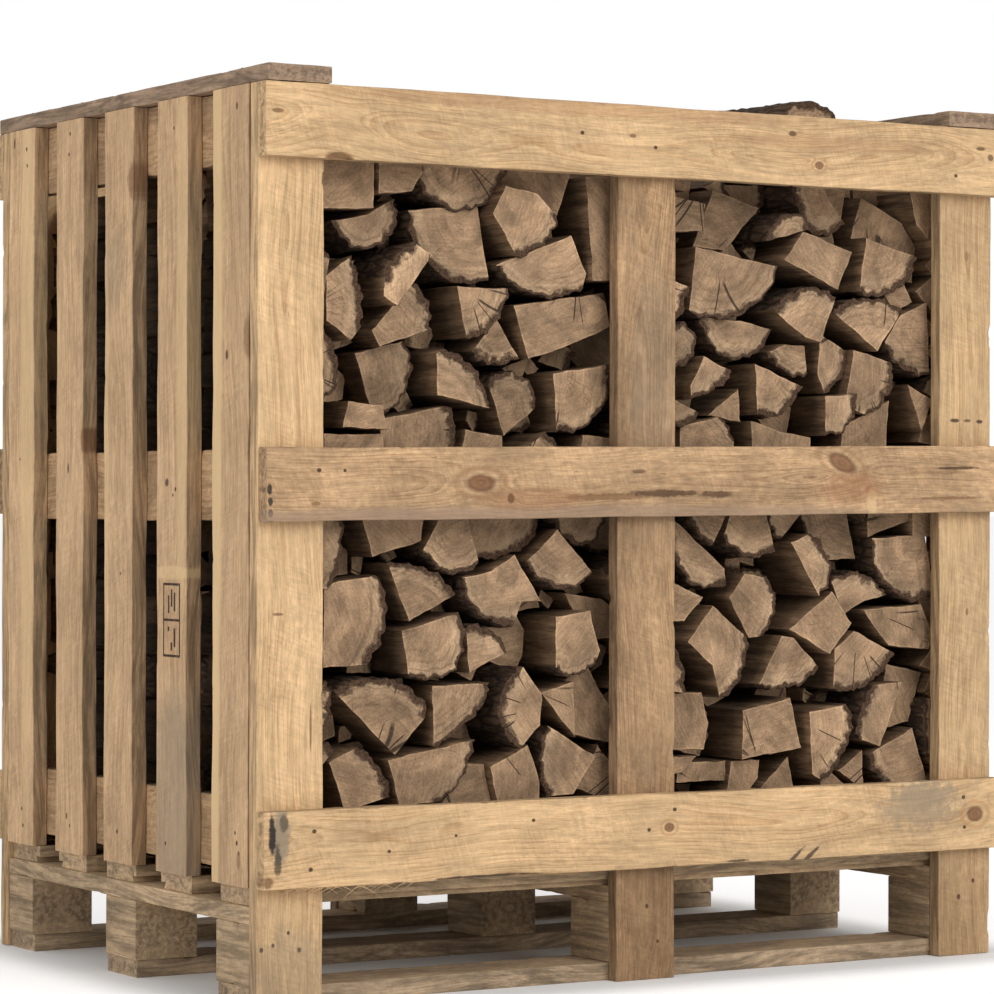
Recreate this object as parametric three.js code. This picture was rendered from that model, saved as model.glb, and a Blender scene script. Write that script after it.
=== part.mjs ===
// Firewood crate: a slatted timber crate on a block pallet, filled with split logs.
// Millimetres, +Z up. X runs along the front, Y runs from front to back, the floor is Z = 0.
import * as THREE from 'three';

// ---- driving dimensions ----
const CRATE_LENGTH = 1200; // along X, outside the posts and rails
const BASE_DEPTH = 770; // along Y, the pallet alone
const BOARD = 22; // thickness of posts, rails, side rails and cap boards
const SLAT_THICK = 23;
const BOTTOM_THICK = 24;
const BLOCK_HEIGHT = 82;
const STRINGER_THICK = 23;
const DECK_THICK = 24;
const RIM_HEIGHT = 1193; // top of the top rails

// ---- pallet layout ----
const COLUMNS = { left: [-597, -502], middle: [-47, 47], right: [503, 597] }; // X of block columns
const ROWS = { front: [0, 98], middle: [341, 437], rear: [684, 770] }; // depth of block rows
const BOTTOM_ENDS = [-594, 594];
const DECK_ENDS = [-590, 590];
const DECK_DEPTHS = [[4, 100], [183, 277], [354, 450], [516, 610], [674, 770]];
const WANE = 14; // bark-side bevel along one lower edge of a deck board

// ---- crate layout ----
const POSTS = { left: [-600, -502], middle: [-49, 47], right: [503, 597] }; // X of the posts
const RAIL_HEIGHTS = { top: [1095, 1193], bottom: [154, 256] };
// The front middle rail is tilted, in radians, with its right end high.
const MIDDLE_RAIL = { ends: [-598, 598], width: 98, height: 681, tilt: 0.011 };
const SIDE_RAIL_HEIGHTS = { top: [1097, 1193], middle: [626, 722], bottom: [169, 265] };
const SLAT_DEPTHS = [[1, 107], [180, 273], [347, 440], [508, 601], [677, 769]];
const CAP_WIDTH = 95;
const CAP_INSET = 3; // from the end of the rails to the outer edge of a cap board

// ---- log stack ----
const STACK_HALF_WIDTH = 552;
const STACK_ROWS = { front: [8, 254], middle: [260, 508], rear: [514, 762] };
const CROWN_HALF_WIDTH = 440; // half width of each row's flat top
const CROWNS = {
  front: { left: 1092, flat: 1118, right: 1084 },
  middle: { left: 1100, flat: 1138, right: 1096 },
  rear: { left: 1096, flat: 1124, right: 1090 },
};

// ---- derived values ----
const BLOCK_FOOT = BOTTOM_THICK;
const STRINGER_FOOT = BLOCK_FOOT + BLOCK_HEIGHT;
const DECK_FOOT = STRINGER_FOOT + STRINGER_THICK;
const DECK_TOP = DECK_FOOT + DECK_THICK;
const CAP_TOP = RIM_HEIGHT + BOARD;
const HALF_LENGTH = CRATE_LENGTH / 2;
const HALF_DEPTH = BASE_DEPTH / 2;
const POST_FACE = BASE_DEPTH + BOARD; // depth of the rear posts' outer face
const RAIL_FACE = BASE_DEPTH + 2 * BOARD;

// ---- finishes ----
const FINISH = {
  pine: [0xcaa777, 0.8],
  pineAged: [0xb08d63, 0.85],
  palletWood: [0x9c7f5c, 0.85],
  palletDark: [0x75614a, 0.9],
  capWood: [0x84705c, 0.85],
  firewood: [0x967f67, 0.9],
  barkLog: [0x6a5443, 0.95],
};

const group = new THREE.Group();
group.name = 'firewood_crate';

function addPart(name, geometry, finish) {
  const [color, roughness] = FINISH[finish];
  const material = new THREE.MeshStandardMaterial({ color, roughness, metalness: 0 });
  material.name = finish;
  const mesh = new THREE.Mesh(geometry, material);
  mesh.name = name;
  group.add(mesh);
  return mesh;
}

// A board from ranges along X, along the depth (0 at the pallet's front) and along Z.
function boxGeometry(xs, depths, zs) {
  const size = [xs, depths, zs].map(([lo, hi]) => hi - lo);
  const centre = [xs, depths, zs].map(([lo, hi]) => (hi + lo) / 2);
  const geometry = new THREE.BoxGeometry(size[0], size[1], size[2]);
  geometry.translate(centre[0], centre[1] - HALF_DEPTH, centre[2]);
  return geometry;
}

function addBoard(name, xs, depths, zs, finish) {
  return addPart(name, boxGeometry(xs, depths, zs), finish);
}

function profileShape(points) {
  const shape = new THREE.Shape();
  points.forEach(([a, b], i) => (i === 0 ? shape.moveTo(a, b) : shape.lineTo(a, b)));
  shape.closePath();
  return shape;
}

// A prism along the depth from an outline in X and Z given anticlockwise as seen from the front.
function prismAlongDepth(outline, depths) {
  const length = depths[1] - depths[0];
  const geometry = new THREE.ExtrudeGeometry(profileShape(outline), {
    depth: length,
    bevelEnabled: false,
  });
  geometry.rotateX(Math.PI / 2);
  geometry.translate(0, depths[1] - HALF_DEPTH, 0);
  return geometry;
}

// A prism along X from an outline in depth and Z.
function prismAlongLength(outline, xs) {
  const geometry = new THREE.ExtrudeGeometry(profileShape(outline), {
    depth: xs[1] - xs[0],
    bevelEnabled: false,
  });
  geometry.rotateX(Math.PI / 2);
  geometry.rotateZ(Math.PI / 2);
  geometry.translate(xs[0], -HALF_DEPTH, 0);
  return geometry;
}

// ---- pallet ----
for (const [row, depths] of Object.entries(ROWS)) {
  addBoard(`bottom_board_${row}`, BOTTOM_ENDS, depths, [0, BOTTOM_THICK], 'palletDark');
  for (const [column, xs] of Object.entries(COLUMNS)) {
    addBoard(`block_${row}_${column}`, xs, depths, [BLOCK_FOOT, STRINGER_FOOT], 'palletWood');
  }
}

for (const [column, xs] of Object.entries(COLUMNS)) {
  addBoard(`stringer_${column}`, xs, [0, BASE_DEPTH], [STRINGER_FOOT, DECK_FOOT], 'palletWood');
}

DECK_DEPTHS.forEach(([near, far], i) => {
  const outline = i === 0
    ? [[near, DECK_FOOT], [far - WANE, DECK_FOOT], [far, DECK_TOP], [near, DECK_TOP]]
    : [[near + WANE, DECK_FOOT], [far, DECK_FOOT], [far, DECK_TOP], [near, DECK_TOP],
      [near, DECK_FOOT + WANE]];
  addPart(`deck_board_${i + 1}`, prismAlongLength(outline, DECK_ENDS), 'palletWood');
});

// ---- front and rear frames ----
const FRAMES = {
  front: { post: [-BOARD, 0], rail: [-2 * BOARD, -BOARD] },
  rear: { post: [BASE_DEPTH, POST_FACE], rail: [POST_FACE, RAIL_FACE] },
};
const RAIL_ENDS = [-HALF_LENGTH, HALF_LENGTH];

for (const [side, depths] of Object.entries(FRAMES)) {
  for (const [column, xs] of Object.entries(POSTS)) {
    const finish = column === 'middle' ? 'pineAged' : 'pine';
    addBoard(`post_${side}_${column}`, xs, depths.post, [0, RIM_HEIGHT], finish);
  }
  for (const [level, zs] of Object.entries(RAIL_HEIGHTS)) {
    addBoard(`rail_${side}_${level}`, RAIL_ENDS, depths.rail, zs, 'pine');
  }
  const half = MIDDLE_RAIL.width / 2;
  const middle = boxGeometry(MIDDLE_RAIL.ends, depths.rail, [-half, half]);
  middle.rotateY(side === 'front' ? -MIDDLE_RAIL.tilt : 0);
  middle.translate(0, 0, MIDDLE_RAIL.height);
  addPart(`rail_${side}_middle`, middle, 'pineAged');
}

// ---- slatted sides ----
const SIDES = { left: -1, right: 1 };
const mirrored = (side, inner, outer) => (side < 0 ? [-outer, -inner] : [inner, outer]);

for (const [name, side] of Object.entries(SIDES)) {
  const slatXs = mirrored(side, HALF_LENGTH - SLAT_THICK, HALF_LENGTH);
  const railXs = mirrored(side, HALF_LENGTH - SLAT_THICK - BOARD, HALF_LENGTH - SLAT_THICK);
  SLAT_DEPTHS.forEach((depths, i) => {
    addBoard(`slat_${name}_${i + 1}`, slatXs, depths, [DECK_TOP, RIM_HEIGHT], 'pine');
  });
  for (const [level, zs] of Object.entries(SIDE_RAIL_HEIGHTS)) {
    addBoard(`side_rail_${name}_${level}`, railXs, [0, BASE_DEPTH], zs, 'pineAged');
  }
  const capXs = mirrored(side, HALF_LENGTH - CAP_INSET - CAP_WIDTH, HALF_LENGTH - CAP_INSET);
  const capDepths = [-2 * BOARD, RAIL_FACE];
  addBoard(`cap_board_${name}`, capXs, capDepths, [RIM_HEIGHT, CAP_TOP], 'capWood');
}

// ---- log stack: three rows of split logs, each one body with a low convex crown ----
for (const [row, crown] of Object.entries(CROWNS)) {
  const outline = [
    [-STACK_HALF_WIDTH, DECK_TOP],
    [STACK_HALF_WIDTH, DECK_TOP],
    [STACK_HALF_WIDTH, crown.right],
    [CROWN_HALF_WIDTH, crown.flat],
    [-CROWN_HALF_WIDTH, crown.flat],
    [-STACK_HALF_WIDTH, crown.left],
  ];
  addPart(`log_row_${row}`, prismAlongDepth(outline, STACK_ROWS[row]), 'firewood');
}

// ---- loose logs on top of the heap ----
const ARC_STEPS = 6;

// A split round: flat underneath, bark over the top.
function halfRound(x, z, width, height) {
  const points = [[x, z], [x + width, z]];
  for (let i = 1; i < ARC_STEPS; i += 1) {
    const angle = (Math.PI * i) / ARC_STEPS;
    points.push([
      x + (width / 2) * (1 + Math.cos(angle)),
      z + height * Math.sin(angle),
    ]);
  }
  return points;
}

// A quarter of a round: one flat side down, one upright, bark between them.
function quarterRound(x, z, width, height) {
  const points = [[x, z], [x + width, z]];
  for (let i = 1; i < ARC_STEPS; i += 1) {
    const angle = (Math.PI / 2) * (i / ARC_STEPS);
    points.push([x + width * Math.cos(angle), z + height * Math.sin(angle)]);
  }
  points.push([x, z + height]);
  return points;
}

const TOP_LOGS = [
  { outline: halfRound(240, CROWNS.front.flat, 114, 106), depths: [12, 250], finish: 'barkLog' },
  { outline: quarterRound(8, CROWNS.front.flat, 92, 60), depths: [20, 252], finish: 'firewood' },
  { outline: halfRound(-276, CROWNS.front.flat, 104, 64), depths: [16, 246], finish: 'barkLog' },
  { outline: quarterRound(318, CROWNS.middle.flat, 90, 48), depths: [266, 500], finish: 'firewood' },
  { outline: halfRound(74, CROWNS.middle.flat, 112, 60), depths: [262, 506], finish: 'barkLog' },
  { outline: quarterRound(-320, CROWNS.middle.flat, 96, 52), depths: [264, 498], finish: 'firewood' },
  { outline: halfRound(-318, CROWNS.rear.flat, 118, 70), depths: [518, 758], finish: 'barkLog' },
];

TOP_LOGS.forEach(({ outline, depths, finish }, i) => {
  addPart(`top_log_${i + 1}`, prismAlongDepth(outline, depths), finish);
});

export default group;
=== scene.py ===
"""Looks of a firewood crate: a slatted timber crate on a block pallet, filled with split logs.

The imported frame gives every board's place. Each board is cut again as a rough-sawn plank, and
each solid row of firewood becomes single split logs. Metres, +Z up, the log ends face -Y.
"""

import logging
import math
from dataclasses import dataclass, field, replace
from enum import Enum

import bpy
import numpy as np
from mathutils import Matrix, Vector


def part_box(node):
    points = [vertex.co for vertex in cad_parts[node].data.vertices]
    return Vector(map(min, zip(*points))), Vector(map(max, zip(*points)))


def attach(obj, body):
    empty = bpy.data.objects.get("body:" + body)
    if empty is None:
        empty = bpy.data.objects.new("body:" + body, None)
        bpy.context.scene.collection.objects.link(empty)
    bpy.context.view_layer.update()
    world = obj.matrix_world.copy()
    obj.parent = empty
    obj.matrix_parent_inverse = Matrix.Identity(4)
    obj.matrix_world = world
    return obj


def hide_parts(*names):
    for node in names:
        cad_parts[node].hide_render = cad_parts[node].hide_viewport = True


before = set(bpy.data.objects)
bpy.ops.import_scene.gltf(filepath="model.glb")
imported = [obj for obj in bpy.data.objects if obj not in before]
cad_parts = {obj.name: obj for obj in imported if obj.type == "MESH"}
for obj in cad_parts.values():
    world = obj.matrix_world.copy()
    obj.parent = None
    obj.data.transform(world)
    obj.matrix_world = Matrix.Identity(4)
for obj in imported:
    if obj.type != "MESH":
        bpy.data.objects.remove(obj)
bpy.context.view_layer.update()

LOG = logging.getLogger("firewood_crate")
MM = 0.001
ROOT = "root"

Socket = bpy.types.NodeSocket
Feed = Socket | float | tuple
Triple = tuple[float, float, float]


def srgb(red: float, green: float, blue: float) -> tuple[float, float, float, float]:
    """Turn a display colour of 0 to 255 into the linear colour a shader takes.

    Args:
        red: Red, 0 to 255.
        green: Green, 0 to 255.
        blue: Blue, 0 to 255.

    Returns:
        The linear colour with an alpha of 1.
    """
    parts = [value / 255.0 for value in (red, green, blue)]
    linear = [p / 12.92 if p <= 0.04045 else ((p + 0.055) / 1.055) ** 2.4 for p in parts]
    return (linear[0], linear[1], linear[2], 1.0)


# ---------------------------------------------------------------------------
# Shader graphs
# ---------------------------------------------------------------------------


class Graph:
    """A material's node graph, with one short method for each kind of node it uses."""

    def __init__(self, name: str) -> None:
        """Make an empty material with a Principled shader.

        Args:
            name: The material's name.
        """
        self.material = bpy.data.materials.new(name)
        self.material.use_nodes = True
        self.tree = self.material.node_tree
        self.tree.nodes.clear()
        self.shader = self.tree.nodes.new("ShaderNodeBsdfPrincipled")
        output = self.tree.nodes.new("ShaderNodeOutputMaterial")
        self.tree.links.new(self.shader.outputs["BSDF"], output.inputs["Surface"])

    def feed(self, socket: Socket, value: Feed | None) -> None:
        """Link a socket into an input, or set the input's own value.

        Args:
            socket: The input to feed.
            value: An output socket, a number, or a tuple.
        """
        if isinstance(value, bpy.types.NodeSocket):
            self.tree.links.new(value, socket)
        elif value is not None:
            socket.default_value = value

    def math(self, operation: str, a: Feed, b: Feed | None = None, c: Feed | None = None) -> Socket:
        """Return a math node's value.

        Args:
            operation: The operation's name.
            a: First operand.
            b: Second operand, if the operation has one.
            c: Third operand, if the operation has one.

        Returns:
            The value.
        """
        node = self.tree.nodes.new("ShaderNodeMath")
        node.operation = operation
        for socket, value in zip(node.inputs, (a, b, c)):
            self.feed(socket, value)
        return node.outputs[0]

    def times(self, a: Feed, b: Feed) -> Socket:
        """Return the product of two values."""
        return self.math("MULTIPLY", a, b)

    def times_plus(self, a: Feed, b: Feed, c: Feed) -> Socket:
        """Return the product of two values, plus a third."""
        return self.math("MULTIPLY_ADD", a, b, c)

    def minus(self, a: Feed, b: Feed) -> Socket:
        """Return one value less another."""
        return self.math("SUBTRACT", a, b)

    def magnitude(self, a: Feed) -> Socket:
        """Return a value without its sign."""
        return self.math("ABSOLUTE", a)

    def larger(self, a: Feed, b: Feed) -> Socket:
        """Return the larger of two values."""
        return self.math("MAXIMUM", a, b)

    def vector(self, operation: str, a: Feed, b: Feed | None = None) -> Socket:
        """Return a vector math node's vector.

        Args:
            operation: The operation's name.
            a: First vector.
            b: Second vector, if the operation has one.

        Returns:
            The vector, or the number for a length or a dot product.
        """
        node = self.tree.nodes.new("ShaderNodeVectorMath")
        node.operation = operation
        self.feed(node.inputs[0], a)
        self.feed(node.inputs[1], b)
        return node.outputs[1] if operation in ("LENGTH", "DOT_PRODUCT") else node.outputs[0]

    def combine(self, x: Feed, y: Feed, z: Feed = 0.0) -> Socket:
        """Return a vector made of three values.

        Args:
            x: First value.
            y: Second value.
            z: Third value.

        Returns:
            The vector.
        """
        node = self.tree.nodes.new("ShaderNodeCombineXYZ")
        for socket, value in zip(node.inputs, (x, y, z)):
            self.feed(socket, value)
        return node.outputs[0]

    def separate(self, vector: Feed) -> tuple[Socket, ...]:
        """Return a vector's three values.

        Args:
            vector: The vector.

        Returns:
            The values.
        """
        node = self.tree.nodes.new("ShaderNodeSeparateXYZ")
        self.feed(node.inputs[0], vector)
        return tuple(node.outputs)

    def point(self, name: str) -> Socket:
        """Return a named vector attribute of the piece.

        Args:
            name: The attribute's name.

        Returns:
            The attribute.
        """
        node = self.tree.nodes.new("ShaderNodeAttribute")
        node.attribute_name = name
        return node.outputs["Vector"]

    def value(self, name: str) -> Socket:
        """Return a named number attribute of the piece.

        Args:
            name: The attribute's name.

        Returns:
            The attribute.
        """
        node = self.tree.nodes.new("ShaderNodeAttribute")
        node.attribute_name = name
        return node.outputs["Fac"]

    def place(self) -> Socket:
        """Return the point's place on the object, in metres."""
        return self.tree.nodes.new("ShaderNodeTexCoord").outputs["Object"]

    def noise(
        self, vector: Feed, scale: float, detail: float = 3.0, rough: float = 0.5, bend: float = 0.0,
    ) -> Socket:
        """Return fractal noise of 0 to 1.

        Args:
            vector: Where the noise is read.
            scale: Cycles in a unit of the vector.
            detail: Octaves.
            rough: Weight of the finer octaves.
            bend: Distortion.

        Returns:
            The noise.
        """
        node = self.tree.nodes.new("ShaderNodeTexNoise")
        self.feed(node.inputs["Vector"], vector)
        node.inputs["Scale"].default_value = scale
        node.inputs["Detail"].default_value = detail
        node.inputs["Roughness"].default_value = rough
        node.inputs["Distortion"].default_value = bend
        return node.outputs["Fac"]

    def cells(self, vector: Feed, scale: float, feature: str) -> Socket:
        """Return the distance to the nearest cell point, or to the cell's edge.

        Args:
            vector: Where the cells are read.
            scale: Cells in a unit of the vector.
            feature: Which distance is given.

        Returns:
            The distance.
        """
        node = self.tree.nodes.new("ShaderNodeTexVoronoi")
        node.feature = feature
        self.feed(node.inputs["Vector"], vector)
        node.inputs["Scale"].default_value = scale
        return node.outputs["Distance"]

    def step(
        self, value: Feed, low: float, high: float, out_low: float = 0.0, out_high: float = 1.0,
    ) -> Socket:
        """Return a smooth step of the value from one bound to the other.

        Args:
            value: The value to step.
            low: Where the step starts.
            high: Where the step ends.
            out_low: What it gives at and before its start.
            out_high: What it gives at and past its end.

        Returns:
            The stepped value.
        """
        node = self.tree.nodes.new("ShaderNodeMapRange")
        node.interpolation_type = "SMOOTHSTEP"
        self.feed(node.inputs["Value"], value)
        node.inputs["From Min"].default_value = low
        node.inputs["From Max"].default_value = high
        node.inputs["To Min"].default_value = out_low
        node.inputs["To Max"].default_value = out_high
        return node.outputs["Result"]

    def mix(self, share: Feed, a: Feed, b: Feed, blend: str = "MIX") -> Socket:
        """Return two colours blended.

        Args:
            share: How much of the second colour shows, 0 to 1.
            a: First colour.
            b: Second colour.
            blend: How they are blended.

        Returns:
            The blended colour.
        """
        node = self.tree.nodes.new("ShaderNodeMix")
        node.data_type = "RGBA"
        node.blend_type = blend
        node.clamp_factor = True
        self.feed(node.inputs[0], share)
        self.feed(node.inputs[6], a)
        self.feed(node.inputs[7], b)
        return node.outputs[2]

    def shade(self, colour: Feed, factor: Feed) -> Socket:
        """Return a colour made lighter or darker by a factor."""
        grey = self.combine(factor, factor, factor)
        return self.mix(1.0, colour, grey, "MULTIPLY")

    def shades(self, colour: Feed, *steps: tuple[Socket, float, float, float, float]) -> Socket:
        """Return a colour shaded in turn by some stepped values.

        Args:
            colour: The colour.
            steps: For each, the value, where its step starts and ends, and the factor at either end.

        Returns:
            The shaded colour.
        """
        for value, low, high, first, last in steps:
            colour = self.shade(colour, self.step(value, low, high, first, last))
        return colour

    def relief(self, *layers: tuple[Socket, float]) -> Socket:
        """Return the sum of some values, each times its weight.

        Args:
            layers: The values and their weights.

        Returns:
            The sum.
        """
        (value, weight), *others = layers
        total = self.times(value, weight)
        for value, weight in others:
            total = self.times_plus(value, weight, total)
        return total

    def finish(self, colour: Feed, height: Feed, roughness: float, depth: float) -> bpy.types.Material:
        """Feed the shader and return the material.

        Args:
            colour: The surface's colour.
            height: The surface's relief, 0 to 1.
            roughness: How matt the surface is.
            depth: The relief's depth in metres.

        Returns:
            The finished material.
        """
        bump = self.tree.nodes.new("ShaderNodeBump")
        bump.inputs["Strength"].default_value = 1.0
        bump.inputs["Distance"].default_value = depth
        self.feed(bump.inputs["Height"], height)
        self.feed(self.shader.inputs["Base Color"], colour)
        self.feed(self.shader.inputs["Normal"], bump.outputs[0])
        self.shader.inputs["Roughness"].default_value = roughness
        self.shader.inputs["Specular IOR Level"].default_value = 0.25
        return self.material


# ---------------------------------------------------------------------------
# Timber finishes
# ---------------------------------------------------------------------------


class Tint(Enum):
    """Colours of what lies on or in the timber."""

    KNOT = srgb(116, 76, 50)
    OLD_KNOT = srgb(72, 48, 32)
    DOT = srgb(58, 40, 28)
    SOOT = srgb(44, 40, 36)
    GREY = srgb(138, 126, 108)
    RED = srgb(150, 104, 72)
    BROWN = srgb(122, 88, 58)
    PINK_GREY = srgb(150, 126, 106)
    PALE = srgb(222, 190, 142)
    INK = srgb(48, 34, 28)


@dataclass(frozen=True)
class Spot:
    """A knot, a stain or a nail hole on a board's faces.

    Attributes:
        along: Its place along the board, in mm from the board's middle.
        across: Its place across the board, in mm from the board's middle.
        long: Half its length along the board, in mm.
        wide: Half its width, in mm.
        tint: Its colour.
        strength: How strongly it covers the wood, 0 to 1.
        ragged: How much noise breaks its edge, 0 to 1.
        swell: How far it pushes the grain aside, in mm.
        turn: Its turn on the face, in degrees.
        ringed: Whether it has a knot's rings and a pale border.
    """

    along: float
    across: float
    long: float
    wide: float
    tint: Tint = Tint.DOT
    strength: float = 0.85
    ragged: float = 0.3
    swell: float = 0.0
    turn: float = 0.0
    ringed: bool = False

    def reach(self, graph: Graph, face: Socket) -> Socket:
        """Return the distance from the spot's middle, as a share of its half sizes.

        Args:
            graph: The graph to add to.
            face: The point's place along and across the board.

        Returns:
            The distance, 1 at the spot's edge.
        """
        node = graph.tree.nodes.new("ShaderNodeMapping")
        node.vector_type = "TEXTURE"
        graph.feed(node.inputs["Vector"], face)
        node.inputs["Location"].default_value = (self.along * MM, self.across * MM, 0.0)
        node.inputs["Rotation"].default_value = (0.0, 0.0, math.radians(self.turn))
        node.inputs["Scale"].default_value = (self.long * MM, self.wide * MM, 1000.0)
        return graph.vector("LENGTH", node.outputs[0])


def knot(
    along: float, across: float, long: float, wide: float, swell: float = 8.0, turn: float = 0.0,
) -> Spot:
    """Return a live knot with rings of its own."""
    return Spot(along, across, long, wide, Tint.KNOT, 0.8, 0.12, swell, turn, True)


def dot(along: float, across: float, size: float = 2.6) -> Spot:
    """Return a nail hole or a pin knot."""
    return Spot(along, across, size, size * 0.85, Tint.DOT, 0.9, 0.15)


@dataclass(frozen=True)
class Stamp:
    """Two framed boxes stamped on a board, each with a few plain bars.

    Attributes:
        along: The middle of the pair along the board, in mm.
        across: Its middle across the board, in mm.
        tall: Half a frame's height, in mm.
        wide: Half a frame's width, in mm.
        line: A line's width in mm.
    """

    along: float
    across: float
    tall: float = 24.0
    wide: float = 22.0
    line: float = 3.6

    def cover(self, graph: Graph, face: Socket) -> Socket:
        """Return a mask that is 1 on the lines and 0 off them.

        A frame is where the larger of the two distances from the box's middle, each less its half
        size, is close to nothing. A bar is a small box.

        Args:
            graph: The graph to add to.
            face: The point's place along and across the board.

        Returns:
            The cover.
        """
        u, v, _ = graph.separate(face)
        total = None
        for shift in (-1.0, 1.0):
            du = graph.minus(u, (self.along + shift * self.tall) * MM)
            dv = graph.minus(v, self.across * MM)
            far_u = graph.minus(graph.magnitude(du), self.tall * MM)
            far_v = graph.minus(graph.magnitude(dv), self.wide * MM)
            frame_gap = graph.magnitude(graph.larger(far_u, far_v))
            shapes = [graph.step(frame_gap, self.line * 0.6 * MM, self.line * 0.35 * MM)]
            for bar, (high, low) in enumerate(((13.0, -12.0), (17.0 * shift, -6.0), (9.0, -15.0 * shift))):
                mid_v = (bar - 1) * 9.0 * MM
                near_v = graph.magnitude(graph.minus(dv, mid_v))
                near_u = graph.magnitude(graph.minus(du, (high + low) * 0.5 * MM))
                over = graph.minus(near_u, abs(high - low) * 0.5 * MM)
                side = graph.minus(near_v, 2.4 * MM)
                shapes.append(graph.step(graph.larger(over, side), 0.6 * MM, -0.4 * MM))
            for shape in shapes:
                total = shape if total is None else graph.larger(total, shape)
        return total


@dataclass(frozen=True)
class TimberFinish:
    """Rough-sawn softwood.

    Attributes:
        name: The finish's name.
        slot: The record's material slot. Not used.
        pale: Colour of the early wood.
        dark: Colour of the late wood.
        weather: Colour of the weathered film.
        weathering: How much film there is, 0 to 1.
        ring: Ring spacing in mm.
        contrast: How strongly the rings show, 0 to 1.
        sawn: How strongly the saw marks show, 0 to 1.
        speckle: How many small dark flecks there are, 0 to 1.
        mottle: How blotchy the wood is, 0 to 1.
    """

    name: str
    slot: str
    pale: tuple[float, ...]
    dark: tuple[float, ...]
    weather: tuple[float, ...]
    weathering: float = 0.3
    ring: float = 4.6
    contrast: float = 0.5
    sawn: float = 0.4
    speckle: float = 0.4
    mottle: float = 0.4

    def material(
        self,
        name: str,
        spots: tuple[Spot, ...] = (),
        tint: tuple[float, ...] = (1.0, 1.0, 1.0, 1.0),
        stamp: Stamp | None = None,
    ) -> bpy.types.Material:
        """Build the finish as a material.

        The rings are bands of the distance from the trunk's pith, which wanders along the board.
        Every spot with a swell adds a bell to that distance, so the grain flows round it.

        Args:
            name: The material's name.
            spots: Knots, stains and nail holes on this board.
            tint: Colour the wood is multiplied by.
            stamp: Framed marks stamped on this board.

        Returns:
            The material.
        """
        graph = Graph(name)
        grain = graph.point("grain")
        face = graph.point("face")
        tone = graph.value("tone")
        narrow = graph.value("narrow")
        x, along, z = graph.separate(grain)
        u, v, _ = graph.separate(face)
        reaches = [spot.reach(graph, face) for spot in spots]

        drift = graph.noise(graph.combine(x, graph.times(along, 0.3), z), 10.0, 3.0, 0.55)
        radius = graph.vector("LENGTH", graph.combine(x, 0.0, z))
        radius = graph.times_plus(drift, 0.022, radius)
        for spot, reach in zip(spots, reaches):
            if spot.swell:
                fall = graph.times(graph.math("POWER", reach, 1.6), -0.42)
                radius = graph.times_plus(graph.math("EXPONENT", fall), spot.swell * MM, radius)
        uneven = graph.noise(graph.combine(radius, 0.0, 0.0), 70.0, 3.0)
        turns = graph.times_plus(uneven, 3.4, graph.math("DIVIDE", radius, self.ring * MM))
        part = graph.math("FRACT", turns)
        late = graph.math("POWER", part, 2.6)
        late = graph.times(late, graph.step(part, 0.88, 1.0, 1.0, 0.0))
        patchy = graph.noise(graph.combine(u, graph.times(v, 2.0), 0.3), 9.0, 3.0)
        late = graph.times(late, graph.step(patchy, 0.34, 0.62, 0.12, 1.35))
        late = graph.times(late, self.contrast)

        fibre = graph.noise(graph.combine(x, graph.times(along, 0.03), z), 700.0, 4.0, 0.68)
        streak = graph.noise(graph.combine(x, graph.times(along, 0.06), z), 120.0, 4.0, 0.62)
        slant = graph.times_plus(v, 0.35, u)
        saw = graph.noise(graph.combine(slant, graph.times(v, 0.14), z), 260.0, 4.0, 0.7)
        saw_patch = graph.step(graph.noise(graph.combine(u, v, 0.9), 16.0, 2.0), 0.42, 0.62, 0.15, 1.0)
        saw = graph.times_plus(graph.minus(saw, 0.5), saw_patch, 0.5)
        cloud = graph.noise(graph.combine(x, graph.times(along, 0.5), z), 12.0, 5.0, 0.62)
        fuzz = graph.noise(graph.combine(x, graph.times(along, 0.45), z), 150.0, 4.0, 0.7)

        colour = graph.mix(late, self.pale, self.dark)
        colour = graph.mix(1.0, colour, tint, "MULTIPLY")
        colour = graph.shades(
            colour, (streak, 0.28, 0.74, 0.82, 1.12), (fibre, 0.25, 0.75, 0.82, 1.12),
            (cloud, 0.3, 0.7, 1.0 - 0.5 * self.mottle, 1.0 + 0.28 * self.mottle),
            (fuzz, 0.3, 0.7, 1.0 - 0.32 * self.mottle, 1.0 + 0.16 * self.mottle),
        )
        colour = graph.shade(colour, graph.times_plus(tone, 0.5, 0.75))
        colour = graph.shades(colour, (saw, 0.36, 0.62, 1.0 - 0.42 * self.sawn, 1.0 + 0.2 * self.sawn))

        fleck = graph.noise(graph.combine(graph.times(along, 0.14), x, z), 260.0, 2.0, 0.7)
        fleck = graph.step(fleck, 0.64, 0.75, 0.0, self.speckle)
        colour = graph.mix(fleck, colour, srgb(112, 80, 52))

        film = graph.noise(graph.combine(u, graph.times(v, 2.2), x), 7.5, 6.0, 0.64)
        film = graph.step(film, 0.64 - 0.34 * self.weathering, 0.82 - 0.3 * self.weathering,
                          0.0, min(0.9, 0.35 + self.weathering))
        film = graph.times(film, graph.step(streak, 0.2, 0.7, 0.5, 1.0))
        colour = graph.mix(film, colour, self.weather)

        # Narrow sides are darker, streaked along the grain, and a little greyer.
        lines = graph.step(streak, 0.38, 0.6, 0.62, 0.96)
        darker_narrow_side = graph.mix(0.15, graph.shade(colour, lines), graph.shade(self.weather, lines))
        colour = graph.mix(narrow, colour, darker_narrow_side)

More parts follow.
